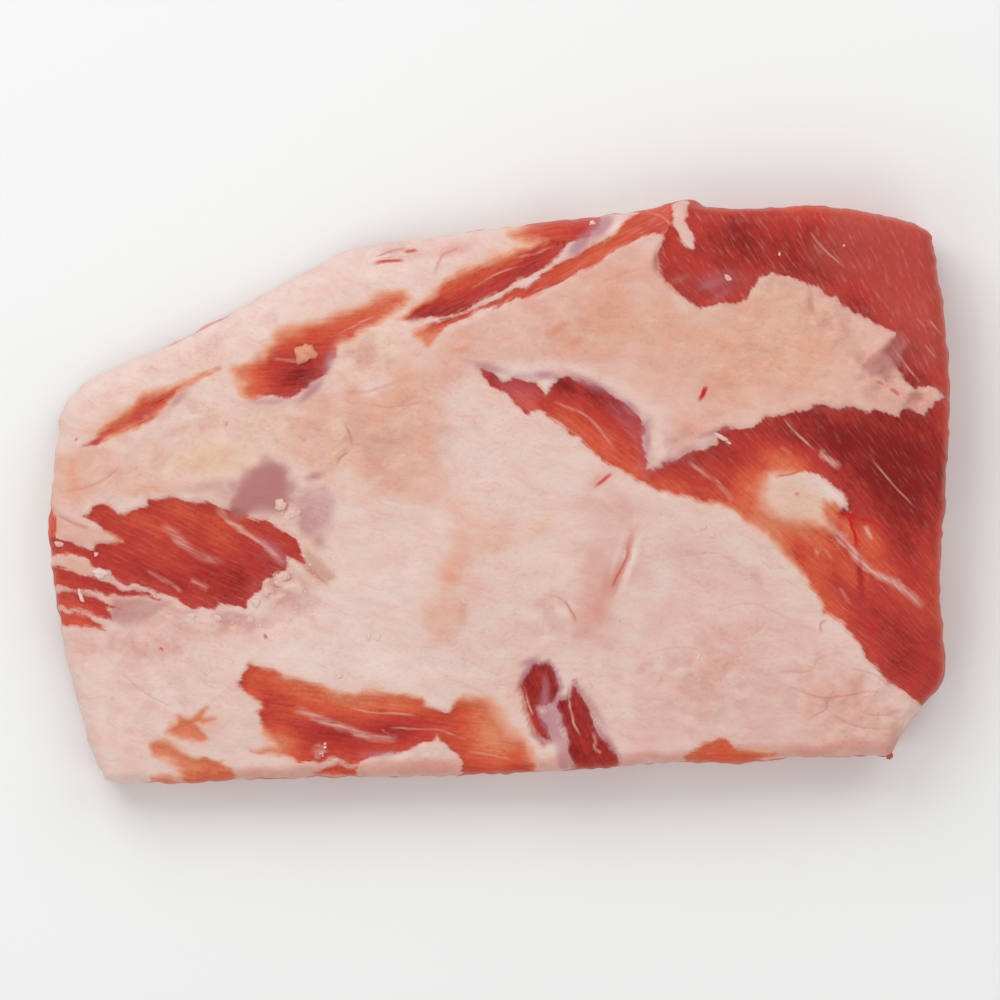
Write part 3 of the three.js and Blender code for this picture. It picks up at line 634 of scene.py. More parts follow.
# How tints spread and mix.
SPOT_FALL = 0.8  # how quickly a spot fades towards its reach
PATCHINESS = 0.22
FAINTEST = 0.1  # tints up to this strength show nothing
FULLEST = 0.8  # and from this strength all
MOTTLES = [("rose", 0.1, 111), ("peach", 0.12, 118), ("white", 0.16, 125), ("cream", 0.14, 132)]
MOTTLE_SIZE = 11

# Torn and crumpled edges.
RAGGED_SHIFTS = [(4.5, 0.7, 91, 95), (1.9, 0.45, 92, 96)]  # size, reach and two seeds
EDGE_CRUMPLE = 0.3
CRUMPLES = [(2.3, 101), (2.3, 102)]  # size and seed

# The wall: the fat cover's cut edge, and lean with seams of fat.
FAT_CAP = 3.2  # thickness of the fat cover, seen in the wall
FAT_SEAMS = [(0.5, 53, 57), (0.78, 54, 58)]  # share of the way down, and seeds of drift and width
FAT_SEAM_WIDTH = 0.7
SEAM_DRIFT = 0.1
SEAM_BEND = 23
SEAM_UNEVEN = 1.2
SEAM_SWELL = 13
WALL_FADE = 1.4
WALL_WAVES = [(17, 0.5, 51), (6, 0.3, 52)]  # size, height and seed
WINDOW_FLARE = 0.8  # how much windows open to the rim widen for each millimetre down the wall
MUSCLE_SEAM = 0.6
WALL_DEEP = -0.1
WALL_UNEVEN = 0.4
WALL_PATCHES = (25, 54)  # size and seed
WALL_PATCH_LENGTH = 5  # how many times as long as high
WALL_FIBRES = 1.6  # fibres are this much finer down the wall
WALL_LANE = 700
WALL_ROUGHNESS = 0.35
WALL_BUMPS = (3.1, 61)  # size and seed
RED_REACH = 6  # how far down the wall the windows' red, the tints and the lines reach
TINT_REACH = 4
LINE_REACH = 3

# The underside: lean with patches of fat under a thin skin.
UNDER_RISE = 0.5  # how far the underside's hollows lie off the floor
UNDER_HOLLOWS = (12, 74)  # size and seed
UNDER_HEADING = -32
UNDER_LANE = 900
UNDER_LEAN = 3
UNDER_PATCHES = [(3, 10, 6, 71), (2, 9, 3, 72)]  # length to width, size, weight, seed
UNDER_FADE = 5.0
UNDER_DEEP = 0.1
UNDER_VEIL = 0.35
UNDER_VEIL_UNEVEN = 0.25
UNDER_VEIL_PATCHES = (22, 73)  # size and seed

# Colours as they look in even light: red, green and blue out of 255.
FAT_PALE = (226, 197, 186)
FAT_PEACH = (220, 150, 122)
FAT_ROSE = (213, 153, 141)
FAT_CREAM = (224, 188, 158)
FAT_WHITE = (233, 210, 202)
FAT_STAIN_AND_SHADE = (252, 240, 236)  # multiplies the fat's colour in patches, and along the folds' grooves as painted shade
# Brown of thin skin, also used as painted shade in the crumbly fat's gaps.
VEIL_AND_SHADE_BROWN = (176, 110, 105)
VEIL_LILAC = (178, 116, 128)
LEAN_RED = (183, 51, 41)
LEAN_DEEP = (130, 12, 10)
LEAN_ORANGE = (209, 84, 53)
LEAN_PALE = (217, 137, 96)
FADE_ORANGE = (214, 122, 90)
FADE_PEACH = (226, 172, 146)
SINEW_PINK = (216, 164, 150)
# The creases' darker pink, partly painted shade in their grooves.
CREASE_SHADE_PINK = (208, 140, 124)
BLOOD = (200, 26, 20)
CLOT = (70, 20, 30)
FLOOR_WHITE = (240, 241, 240)

# The camera looks straight down on the slab.
VIEW_CENTRE = (0.28, -2.35)
VIEW_WIDTH = 277
VIEW_PLANE = 18  # height at which the view is that wide
CAMERA_HEIGHT = 5000
SENSOR_WIDTH = 36

# Soft light from all round.
FLOOR_SIZE = 6.0
FLOOR_DROP = 0.0004
LIGHT_DISTANCE = 1.1
LIGHT_SIZE = 0.9
LIGHTS = [(125, 40, 5.4), (45, 40, 2.0), (-45, 40, 1.6), (-135, 40, 2.0)]  # azimuth, elevation, watts
WORLD_STRENGTH = 0.5

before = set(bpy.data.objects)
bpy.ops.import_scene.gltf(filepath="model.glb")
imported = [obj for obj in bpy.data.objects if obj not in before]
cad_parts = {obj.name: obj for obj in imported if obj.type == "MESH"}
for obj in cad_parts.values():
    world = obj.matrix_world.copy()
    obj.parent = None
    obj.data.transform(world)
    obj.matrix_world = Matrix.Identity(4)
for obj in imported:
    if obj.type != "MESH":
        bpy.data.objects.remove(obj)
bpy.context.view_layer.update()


def smooth(t):
    """A soft step from 0 to 1."""
    s = np.clip(t, 0, 1)
    return s * s * (3 - 2 * s)


def soft_noise(x, y, size, seed):
    """Smooth random values between -1 and 1, about one bump every size millimetres."""
    table = np.random.default_rng(seed).uniform(-1, 1, (NOISE_CELLS, NOISE_CELLS))
    column = np.floor(x / size).astype(int)
    row = np.floor(y / size).astype(int)
    right = smooth(x / size - column)
    up = smooth(y / size - row)

    def corner(i, j):
        return table[(row + j) % NOISE_CELLS, (column + i) % NOISE_CELLS]

    lower = corner(0, 0) * (1 - right) + corner(1, 0) * right
    upper = corner(0, 1) * (1 - right) + corner(1, 1) * right
    return lower * (1 - up) + upper * up


def bumps(x, y, table):
    """Soft bumps of several sizes, each with its own height and seed."""
    return sum(height * soft_noise(x, y, size, seed) for size, height, seed in table)


def clouds(x, y, size, seed):
    """Uneven patches between about -1 and 1, the largest size millimetres wide."""
    total = np.zeros(x.shape)
    cosine, sine = OCTAVE_TURN
    for octave in range(OCTAVES):
        x, y = cosine * x - sine * y, sine * x + cosine * y
        total += soft_noise(x, y, size / 2**octave, seed + octave) / 2**octave
    return total / CLOUD_SPREAD


def patchy(mask, noise):
    """A soft mask broken up by noise."""
    return smooth((mask * (1 + PATCHINESS * noise) - FAINTEST) / (FULLEST - FAINTEST))


class EdgeCurve:
    """A smooth curve through points of x, y and roll, read by its share of the length."""

    def __init__(self, points):
        knots = np.array(points, float)
        knots = np.vstack([2 * knots[0] - knots[1], knots, 2 * knots[-1] - knots[-2]])
        pieces = []
        t = np.linspace(0, 1, CURVE_SAMPLES, endpoint=False)[:, None]
        for before, start, end, after in zip(knots, knots[1:], knots[2:], knots[3:]):
            leave = (end - before) / 2
            arrive = (after - start) / 2
            pieces.append(
                start * (1 - 3 * t**2 + 2 * t**3) + end * (3 * t**2 - 2 * t**3)
                + leave * (t - 2 * t**2 + t**3) + arrive * (t**3 - t**2)
            )
        self.points = np.vstack(pieces + [knots[-2]])
        lengths = np.linalg.norm(np.diff(self.points, axis=0), axis=1)
        self.shares = np.concatenate([[0], np.cumsum(lengths)]) / lengths.sum()

    def at(self, share):
        return np.stack([np.interp(share, self.shares, self.points[:, k]) for k in range(3)], -1)


EDGES = {
    "rib": EdgeCurve(RIB_EDGE),
    "brisket": EdgeCurve(BRISKET_EDGE),
    "belly": EdgeCurve(BELLY_EDGE),
    "flank": EdgeCurve(FLANK_EDGE),
}


def stretch(u, v):
    """The unit square stretched between the four edges: x, y and roll."""
    rib, belly = EDGES["rib"].at(u), EDGES["belly"].at(u)
    flank, brisket = EDGES["flank"].at(v), EDGES["brisket"].at(v)
    ends = {name: (curve.at(0.0), curve.at(1.0)) for name, curve in EDGES.items()}
    u, v = u[..., None], v[..., None]
    sides = rib * (1 - v) + belly * v + flank * (1 - u) + brisket * u
    corners = (
        ends["rib"][0] * (1 - u) * (1 - v) + ends["rib"][1] * u * (1 - v)
        + ends["belly"][0] * (1 - u) * v + ends["belly"][1] * u * v
    )
    return sides - corners


def grid_places(count):
    """Shares along a side of the grid, closer together near its ends."""
    t = np.linspace(0, 1, count + 1)
    return t - FINER_BY_EDGES * np.sin(2 * np.pi * t) / (2 * np.pi)


def inside_distance(x, y, outline):
    """Distance from points to a closed outline, positive inside it."""
    nearest = np.full(x.shape, np.inf)
    inside = np.zeros(x.shape, bool)
    for (ax, ay), (bx, by) in zip(outline, outline[1:] + outline[:1]):
        along = ((x - ax) * (bx - ax) + (y - ay) * (by - ay)) / ((bx - ax) ** 2 + (by - ay) ** 2)
        t = np.clip(along, 0, 1)
        nearest = np.minimum(nearest, np.hypot(x - ax - t * (bx - ax), y - ay - t * (by - ay)))
        if ay != by:
            inside ^= ((ay > y) != (by > y)) & (x < ax + (y - ay) * (bx - ax) / (by - ay))
    return np.where(inside, nearest, -nearest)


def slab_outline():
    """Points round the slab, anticlockwise seen from above."""
    shares = np.arange(OUTLINE_POINTS // 4) / (OUTLINE_POINTS // 4)
    walk = [("rib", shares), ("brisket", shares), ("belly", 1 - shares), ("flank", 1 - shares)]
    return [tuple(p[:2]) for name, places in walk for p in EDGES[name].at(places)]


def spots(x, y, places):
    """The strongest of a list of soft spots at each point."""
    total = np.zeros(x.shape)
    for px, py, along, across, heading, strength in places:
        turn = math.radians(heading)
        a = ((x - px) * math.cos(turn) + (y - py) * math.sin(turn)) / along
        b = ((y - py) * math.cos(turn) - (x - px) * math.sin(turn)) / across
        total = np.maximum(total, strength * np.exp(-SPOT_FALL * (a * a + b * b)))
    return total


def lines(x, y, strokes):
    """Side distance from the nearest line as a share of its half width, and its strength."""
    nearest = np.full(x.shape, FAR)
    side_share = np.full(x.shape, FAR)
    strength = np.zeros(x.shape)
    for half_width, power, corners in strokes:
        curve = EdgeCurve([corner + (0,) for corner in corners])
        points = curve.at(np.linspace(0, 1, 1 + LINE_PIECES * (len(corners) - 1)))[:, :2]
        length = sum(math.dist(p, q) for p, q in zip(points, points[1:]))
        walked = 0
        for (ax, ay), (bx, by) in zip(points, points[1:]):
            piece = math.dist((ax, ay), (bx, by))
            along = ((x - ax) * (bx - ax) + (y - ay) * (by - ay)) / piece
            side = ((y - ay) * (bx - ax) - (x - ax) * (by - ay)) / piece
            past = np.maximum(0, np.maximum(-along, along - piece))
            distance = np.hypot(side, past)
            closer = distance < nearest
            share = (walked + np.clip(along, 0, piece)) / length
            tapered = power * (1 - np.abs(2 * share - 1) ** LINE_TAPER)
            near = smooth((LINE_SPREAD * half_width + LINE_MARGIN - distance) / LINE_FADE)
            nearest = np.where(closer, distance, nearest)
            side_share = np.where(closer, side / half_width, side_share)
            strength = np.where(closer, tapered * near, strength)
            walked += piece
    return side_share, strength


def fibre_field(x, y, heading):
    """Places along and across the fibres, and the fibres' direction."""
    if heading is None:
        focus = BRISKET_FOCUS
        reach = math.hypot(*BRISKET_FOCUS) * FOCUS_SHARE
    else:
        turn = math.radians(heading)
        focus = (STRAIGHT * math.cos(turn), STRAIGHT * math.sin(turn))
        reach = STRAIGHT
    dx, dy = focus[0] - x, focus[1] - y
    distance = np.hypot(dx, dy)
    return reach - distance, np.arctan2(dy, dx) * reach, dx / distance, dy / distance


def ragged(x, y):
    """Points pushed about, so that an outline read there looks torn."""
    for size, reach, seed_x, seed_y in RAGGED_SHIFTS:
        x, y = x + reach * soft_noise(x, y, size, seed_x), y + reach * soft_noise(x, y, size, seed_y)
    return x, y


def ridges(along, across, table):
    """Long soft bumps that run along the fibres."""
    return sum(
        height * soft_noise(along / length, across, size, seed) for length, size, height, seed in table
    )


def bare_lean(x, y):
    """How far inside a window points lie, and its red, flecks, fibres and lilac skin."""
    lean = np.full(x.shape, -FAR)
    deep = np.zeros(x.shape)
    flecks = np.zeros(x.shape)
    fibre = np.zeros(x.shape + (3,))
    skin = np.zeros(x.shape)
    torn_x, torn_y = ragged(x, y)
    for name, (heading, red, outline) in WINDOWS.items():
        along, across, ux, uy = fibre_field(x, y, heading)
        lane = np.full(x.shape, LANE_STEP * (heading or 0))
        tear = bumps(across, lane, FIBRE_TEARS)
        depth = inside_distance(torn_x + tear * ux, torn_y + tear * uy, outline)
        streaks = STREAK_DEPTH * soft_noise(along / STREAK_LENGTH, across, *STREAKS)
        here = depth > lean
        lean = np.where(here, depth, lean)
        deep = np.where(here, red + streaks, deep)
        flecks = np.where(here, FLECKS.get(name, FEW_FLECKS), flecks)
        fibre = np.where(here[..., None], np.stack([along, across, lane], -1), fibre)
        halo = np.exp(-(((depth + HALO_PLACE) / HALO_WIDTH) ** 2))
        skin = np.maximum(skin, LILAC_EDGES.get(name, 0) * halo)
    for outline in FAT_OVER_LEAN.values():
        lean = np.minimum(lean, -inside_distance(torn_x, torn_y, outline))
    deep = deep + spots(x, y, DEEP_SPOTS) - spots(x, y, ORANGE_LEAN_SPOTS)
    deep = deep + RED_UNEVEN * clouds(x, y, *RED_PATCHES)
    return np.clip(lean, -LEAN_REACH, LEAN_REACH), deep, flecks, fibre, skin


def edge_widths(x, y):
    """The width over which fat turns to lean at the nearest edge."""
    fade = np.full(x.shape, SHARP_EDGE)
    for px, py, reach, width in SOFT_EDGES:
        near = np.exp(-((x - px) ** 2 + (y - py) ** 2) / reach**2)
        fade = np.maximum(fade, SHARP_EDGE + (width - SHARP_EDGE) * near)
    return fade


def tint_strengths(x, y, skin, crumbly, small, large):
    """How strongly each tint shows: spots, films, mottles, and painted shade in the gaps of the crumbly
    fat.
    """
    tint = {name: spots(x, y, places) for name, places in TINT_SPOTS.items()}
    tint["lilac"] = np.maximum(tint["lilac"], skin)
    wobble_x, wobble_y = FILM_WOBBLE * small, FILM_WOBBLE * clouds(x, y, *WOBBLE_PATCHES)
    for name, strength, edge, outline in FILMS:
        share = smooth(0.5 + inside_distance(x + edge * wobble_x, y + edge * wobble_y, outline) / edge)
        tint[name] = np.maximum(tint[name], strength * share)
    for name, strength, seed in MOTTLES:
        tint[name] = tint[name] + strength * np.clip(clouds(x, y, MOTTLE_SIZE, seed), 0, 1)
    noise = {"cream": large, "veil": small / 2}
    tint = {name: patchy(mask, noise.get(name, small)) for name, mask in tint.items()}
    # Painted shade in the hollows between the crumbly fat's lumps, where its relief is lowest.
    gaps = crumbly * smooth(GAP_LEVEL - GAP_STEEPNESS * clouds(x, y, *LUMPS))
    for name, strength in GAP_SHADE_TINTS.items():
        tint[name] = np.maximum(tint[name], strength * gaps)
    return tint


def paint(x, y):
    """What shows at each point of the fat side."""
    small, large = clouds(x, y, *SMALL_PATCHES), clouds(x, y, *LARGE_PATCHES)
    crumbly = spots(x, y, CRUMBLE_SPOTS)
    lean, deep, flecks, fibre, skin = bare_lean(x, y)
    tint = tint_strengths(x, y, skin, crumbly, small, large)
    grain = GRAIN_LEAST + GRAIN_PATCHES * smooth(GRAIN_LEVEL + large) + crumbly
    film_x, film_y = x + FILM_WARP[0] * large, y + FILM_WARP[1] * small
    film_along, film_across, _, _ = fibre_field(film_x, film_y, FILM_HEADING)
    drawn = [lines(x, y, strokes) for strokes in (SINEWS, CREASE_AND_SHADOW_LINES, VEINS)]
    return {
        "lean": lean,
        "fade": edge_widths(x, y),
        "deep": deep,
        "fibre": fibre,
        "film": np.stack([film_along, film_across, 0 * x], -1) * FILM_SCALE,
        "warm": np.stack([tint["peach"], tint["rose"], tint["cream"]], -1),
        "cool": np.stack([tint["white"], tint["veil"], tint["lilac"]], -1),
        "form": np.stack([flecks, grain, np.full(x.shape, FAR)], -1),
        "line_side": np.stack([side for side, _ in drawn], -1),
        "line_strength": np.stack([strength for _, strength in drawn], -1),
    }


def relief(x, y, look):
    """How far the surface lies above or below the plain fat cover."""
    bare = smooth(0.5 + look["lean"] / np.maximum(TORN_EDGE_WIDTH, look["fade"]))
    crisp = smooth((SOFT_FADE - look["fade"]) / (SOFT_FADE - CRISP_FADE))
    sunk = LEAN_STEP * (EDGE_STEP + (1 - EDGE_STEP) * smooth(look["lean"] / STEP_REACH))
    lip = FAT_LIP * crisp * np.exp(-(((look["lean"] + LIP_PLACE) / LIP_WIDTH) ** 2))
    fibres = ridges(look["fibre"][..., 0], look["fibre"][..., 1], FIBRE_RIDGES)
    creased = np.abs(soft_noise(look["film"][..., 0], look["film"][..., 1], *FOLDS))
    folds = FOLD_HEIGHT * (FOLD_LEVEL - creased)
    lumps = LUMP_HEIGHT * spots(x, y, CRUMBLE_SPOTS) * clouds(x, y, *LUMPS)
    cover = bumps(x, y, FAT_BUMPS) + folds + lumps
    film = FILM_RISE * look["warm"][..., 0]
    for height, outline in FLAPS:
        film = film + height * smooth(0.5 + inside_distance(x, y, outline) / FLAP_EDGE)
    line = np.exp(-(look["line_side"] ** 2)) * look["line_strength"]
    return (
        lip + bare * (fibres - sunk) + (1 - bare) * (cover + film)
        + SINEW_RIDGE * line[..., 0] - CREASE_DEPTH * line[..., 1]
    )


def thickness_at(u, v):
    """Thickness between the four corners, with a crown in the middle."""
    flank = FLANK_RIB_THICKNESS * (1 - v) + FLANK_BELLY_THICKNESS * v
    brisket = BRISKET_RIB_THICKNESS * (1 - v) + BRISKET_BELLY_THICKNESS * v
    return flank * (1 - u) + brisket * u + CROWN * np.sin(np.pi * u) * np.sin(np.pi * v)


def swell_at(x, y):
    """Broad swells of the top."""
    total = np.zeros(x.shape)
    for length, heading, phase, height in SWELLS:
        turn = math.radians(heading)
        along = x * math.cos(turn) + y * math.sin(turn)
        total += height * np.sin(2 * np.pi * along / length + math.radians(phase))
    return total


def top_surface():
    """The fat side on its fine grid, as x, y, z, and what shows there."""
    u, v = np.meshgrid(grid_places(STEPS_ALONG), grid_places(STEPS_ACROSS))
    place = stretch(u, v)
    x, y, roll = place[..., 0], place[..., 1], place[..., 2]
    inwards = np.maximum(0, inside_distance(x, y, slab_outline()))
    shy = 1 - np.minimum(1, inwards / roll)
    thickness = thickness_at(u, v)
    drop = np.minimum(roll, MOST_ROLL_DROP * thickness) * (1 - np.sqrt(1 - shy * shy))
    x = x + EDGE_CRUMPLE * soft_noise(x, y, *CRUMPLES[0])
    y = y + EDGE_CRUMPLE * soft_noise(x, y, *CRUMPLES[1])
    look = paint(x, y)
    look["form"][..., 2] = inwards
    z = thickness + swell_at(x, y) - drop + relief(x, y, look)
    return np.stack([x, y, z], -1), look


def rim_places():
    """Rows and columns round the rim of the top grid, anticlockwise seen from above."""
    around = [(0, i) for i in range(STEPS_ALONG)]
    around += [(j, STEPS_ALONG) for j in range(STEPS_ACROSS)]
    around += [(STEPS_ACROSS, i) for i in range(STEPS_ALONG, 0, -1)]
    around += [(j, 0) for j in range(STEPS_ACROSS, 0, -1)]
    return np.array(around)


def wall_look(x, y, share, drop, around):
    """What shows on the wall: the fat cover's cut edge, then lean with seams of fat."""
    look = paint(x, y)
    row = np.zeros(x.shape)
    wave = bumps(around, row, WALL_WAVES)
    windows = look["lean"] + WINDOW_FLARE * drop * (1 + wave)
    below = np.minimum(drop - FAT_CAP * (1 + wave), -windows - 2 * MUSCLE_SEAM)
    lean = np.maximum(windows, below)
    for place, drift_seed, width_seed in FAT_SEAMS:
        shift = SEAM_DRIFT * soft_noise(around, row, SEAM_BEND, drift_seed)
        width = FAT_SEAM_WIDTH * (1 + SEAM_UNEVEN * soft_noise(around, row, SEAM_SWELL, width_seed))
        seam = np.abs(share - place - shift) * np.max(drop, axis=0) - width
        lean = np.minimum(lean, seam)
    look["lean"] = lean
    look["fade"] = np.maximum(look["fade"], WALL_FADE)
    in_window = windows > -MUSCLE_SEAM
    flowing = look["fibre"] + np.stack([row, WALL_FIBRES * drop, row], -1)
    inner = np.stack([around, WALL_FIBRES * drop, row + WALL_LANE], -1)
    look["fibre"] = np.where(in_window[..., None], flowing, inner)
    inner_deep = WALL_DEEP + WALL_UNEVEN * clouds(around, WALL_PATCH_LENGTH * drop, *WALL_PATCHES)
    inner_share = np.where(in_window, smooth(drop / RED_REACH), 1)
    look["deep"] = look["deep"] + (inner_deep - look["deep"]) * inner_share
    look["cool"] = look["cool"] * (1 - smooth(drop / TINT_REACH))[..., None]
    look["film"] = look["film"] + np.stack([row, row, FILM_SCALE[1] * drop], -1)
    look["line_strength"] = look["line_strength"] * (1 - smooth(drop / LINE_REACH))[..., None]
    look["form"][..., 2] = drop
    return look


def wall_surface(top, around):
    """Rows of points from just under the rim down to the underside."""
    rim = top[around[:, 0], around[:, 1]]
    step = np.roll(rim, -TURN_REACH, 0) - np.roll(rim, TURN_REACH, 0)
    outwards = np.stack([step[:, 1], -step[:, 0]], -1)
    outwards /= np.linalg.norm(outwards, axis=1)[:, None]
    steps = np.linalg.norm(np.diff(rim[:, :2], axis=0, prepend=rim[:1, :2]), axis=1)
    walked = np.broadcast_to(np.cumsum(steps), (WALL_ROWS, len(rim)))
    share = np.broadcast_to((np.arange(1, WALL_ROWS + 1) / WALL_ROWS)[:, None], walked.shape)
    grain = WALL_ROUGHNESS * soft_noise(walked, share * rim[:, 2], *WALL_BUMPS)
    reach = (WALL_BELLY + grain) * np.sin(np.pi * share) - WALL_TUCK * share**3
    x = rim[:, 0] + outwards[:, 0] * reach
    y = rim[:, 1] + outwards[:, 1] * reach
    z = rim[:, 2] * (1 - share)
    return np.stack([x, y, z], -1), wall_look(x, y, share, rim[:, 2] * share, walked)


def under_surface(top):
    """The underside's inner points: nearly flat, lean with a thin skin and streaks of fat."""
    inner = top[UNDER_EVERY:-1:UNDER_EVERY, UNDER_EVERY:-1:UNDER_EVERY]
    x, y = inner[..., 0], inner[..., 1]
    look = paint(x, y)
    along, across, _, _ = fibre_field(x, y, UNDER_HEADING)
    skin = UNDER_VEIL + UNDER_VEIL_UNEVEN * soft_noise(x, y, *UNDER_VEIL_PATCHES)
    look["lean"] = UNDER_LEAN + ridges(along, across, UNDER_PATCHES)
    look["fade"] = np.full(x.shape, UNDER_FADE)
    look["deep"] = np.full(x.shape, UNDER_DEEP)
    look["fibre"] = np.stack([along, across, 0 * along + UNDER_LANE], -1)
    look["cool"] = np.stack([0 * x, skin, 0 * x], -1)
    look["line_strength"] = np.zeros(x.shape + (3,))
    z = UNDER_RISE * (1 + soft_noise(x, y, *UNDER_HOLLOWS)) / 2
    return np.stack([x, y, z], -1), look


def under_faces(ring, inner_start):
    """Faces of the underside: squares, with the rim's finer points along the outer ones."""
    columns, rows = STEPS_ALONG // UNDER_EVERY, STEPS_ACROSS // UNDER_EVERY

    def ring_place(row, column):
        if row == 0:
            return column
        if column == STEPS_ALONG:
            return STEPS_ALONG + row
        if row == STEPS_ACROSS:
            return STEPS_ALONG + STEPS_ACROSS + STEPS_ALONG - column
        return 2 * STEPS_ALONG + STEPS_ACROSS + STEPS_ACROSS - row

    def corner(row, column):
        if 0 < row < rows and 0 < column < columns:
            return inner_start + (row - 1) * (columns - 1) + column - 1
        return ring[ring_place(row * UNDER_EVERY, column * UNDER_EVERY)]

    def side(start, end):
        """A square's side from one corner to the next, with the rim's points between them."""
        along_rim = start[0] == end[0] and start[0] in (0, rows)
        across_rim = start[1] == end[1] and start[1] in (0, columns)
        points = [corner(*start)]
        if along_rim or across_rim:
            for k in range(1, UNDER_EVERY):
                row = start[0] * UNDER_EVERY + (end[0] - start[0]) * k
                column = start[1] * UNDER_EVERY + (end[1] - start[1]) * k
                points.append(ring[ring_place(row, column)])
        return points

    faces = []
    for row in range(rows):
        for column in range(columns):
            corners = [(row, column), (row + 1, column), (row + 1, column + 1), (row, column + 1)]
            faces.append([p for a, b in zip(corners, corners[1:] + corners[:1]) for p in side(a, b)])
    return faces


def show(name, mesh):
    """An object of the scene that shows a mesh."""
    mesh.shade_smooth()
    made = bpy.data.objects.new(name, mesh)
    bpy.context.scene.collection.objects.link(made)
    return made


def write_look(mesh, look):
    """What shows at each point, kept on the mesh for its material to read."""
    for name, values in look.items():
        is_vector = values.ndim == 2
        layer = mesh.attributes.new(name, "FLOAT_VECTOR" if is_vector else "FLOAT", "POINT")
        layer.data.foreach_set("vector" if is_vector else "value", values.astype(np.float32).ravel())


def make_slab():
    """The slab as one closed mesh, and its top's points."""
    top, top_look = top_surface()
    around = rim_places()
    wall, look_of_wall = wall_surface(top, around)
    under, under_look = under_surface(top)
    index = np.arange(top.shape[0] * top.shape[1]).reshape(top.shape[:2])
    squares = np.stack([index[:-1, :-1], index[:-1, 1:], index[1:, 1:], index[1:, :-1]], -1)
    faces = squares.reshape(-1, 4).tolist()
    upper = index[around[:, 0], around[:, 1]]
    for row in range(WALL_ROWS):
        lower = index.size + row * len(around) + np.arange(len(around))
        faces += np.stack([upper, lower, np.roll(lower, -1), np.roll(upper, -1)], -1).tolist()
        upper = lower
    faces += under_faces(upper.tolist(), index.size + WALL_ROWS * len(around))
    points = np.vstack([top.reshape(-1, 3), wall.reshape(-1, 3), under.reshape(-1, 3)])
    mesh = bpy.data.meshes.new("lamb_breast_meat")
    mesh.from_pydata((points * MM).tolist(), [], faces)
    look = {}
    for name, values in top_look.items():
        parts = [values, look_of_wall[name], under_look[name]]
        look[name] = np.concatenate([part.reshape((-1,) + values.shape[2:]) for part in parts])
    write_look(mesh, look)
    return show("lamb_breast_meat", mesh), top


def waves(px, py, seed, table):
    """Waves over the surface of a bit."""
    return sum(height * math.sin(a * px + b * py + phase * seed) for height, a, b, phase in table)


def add_bit(bits, length, width, heading, centre, seed):
    """One flat, lumpy bit lying at a point."""
    start = len(bits.verts)
    bmesh.ops.create_icosphere(bits, subdivisions=3 if length > SMALL_BIT else 2, radius=1)
    bits.verts.ensure_lookup_table()
    turn = math.radians(heading)
    height = BIT_HEIGHT * min(length, width)
    for vert in bits.verts[start:]:
        px, py, pz = vert.co
        lump = 1 + waves(px, py, seed, BIT_LUMPS)
        a = px * lump * length / 2
        b = py * lump * width / 2
        rise = pz * height * (BIT_FLATNESS + waves(px, py, seed, BIT_DENTS))
        vert.co = (
            (centre[0] + a * math.cos(turn) - b * math.sin(turn)) * MM,
            (centre[1] + a * math.sin(turn) + b * math.cos(turn)) * MM,
            (centre[2] + rise) * MM,
        )


def make_bits(top):
    """Loose bits and crumbs, each half sunk into the surface below it."""
    flat = top.reshape(-1, 3)
    bits = bmesh.new()
    tints = []

    def add(x, y, length, width, heading, tint):
        before = len(bits.verts)
        ground = flat[np.argmin((flat[:, 0] - x) ** 2 + (flat[:, 1] - y) ** 2)]
        add_bit(bits, length, width, heading, ground, x + SEED_STEP * y)
        tints.extend([tint] * (len(bits.verts) - before))

    for place in BITS:
        add(*place)
    random = np.random.default_rng(CRUMB_SEED)
    for start, end, count, length, width, heading in FRINGES:
        places = np.arange(count) + random.uniform(-FRINGE_JITTER, FRINGE_JITTER, count)
        for share in places / (count - 1):
            x, y = (a + (b - a) * share for a, b in zip(start, end))
            size, turn = random.uniform(*FRINGE_SIZES), random.uniform(-FRINGE_TURN, FRINGE_TURN)
            add(x, y, length * size, width, heading + turn, random.uniform(*FRINGE_TINTS))
    for x, y, along, across, count in CRUMB_FIELDS:
        for _ in range(count):
            length, width = random.uniform(*CRUMB_SIZES, 2)
            cx, cy = random.normal(x, along / 2), random.normal(y, across / 2)
            heading = random.uniform(0, 180)
            add(cx, cy, CRUMB_LENGTH * length, width, heading, random.uniform(*CRUMB_TINTS))
    mesh = bpy.data.meshes.new("lamb_breast_bits")
    bits.to_mesh(mesh)
    bits.free()
    write_look(mesh, {"tint": np.array(tints)})
    return show("lamb_breast_bits", mesh)


def linear(colour):
    """A colour out of 255 as the shader's own linear values."""
    values = [c / 255 for c in colour]
    return [c / 12.92 if c <= 0.04045 else ((c + 0.055) / 1.055) ** 2.4 for c in values] + [1.0]


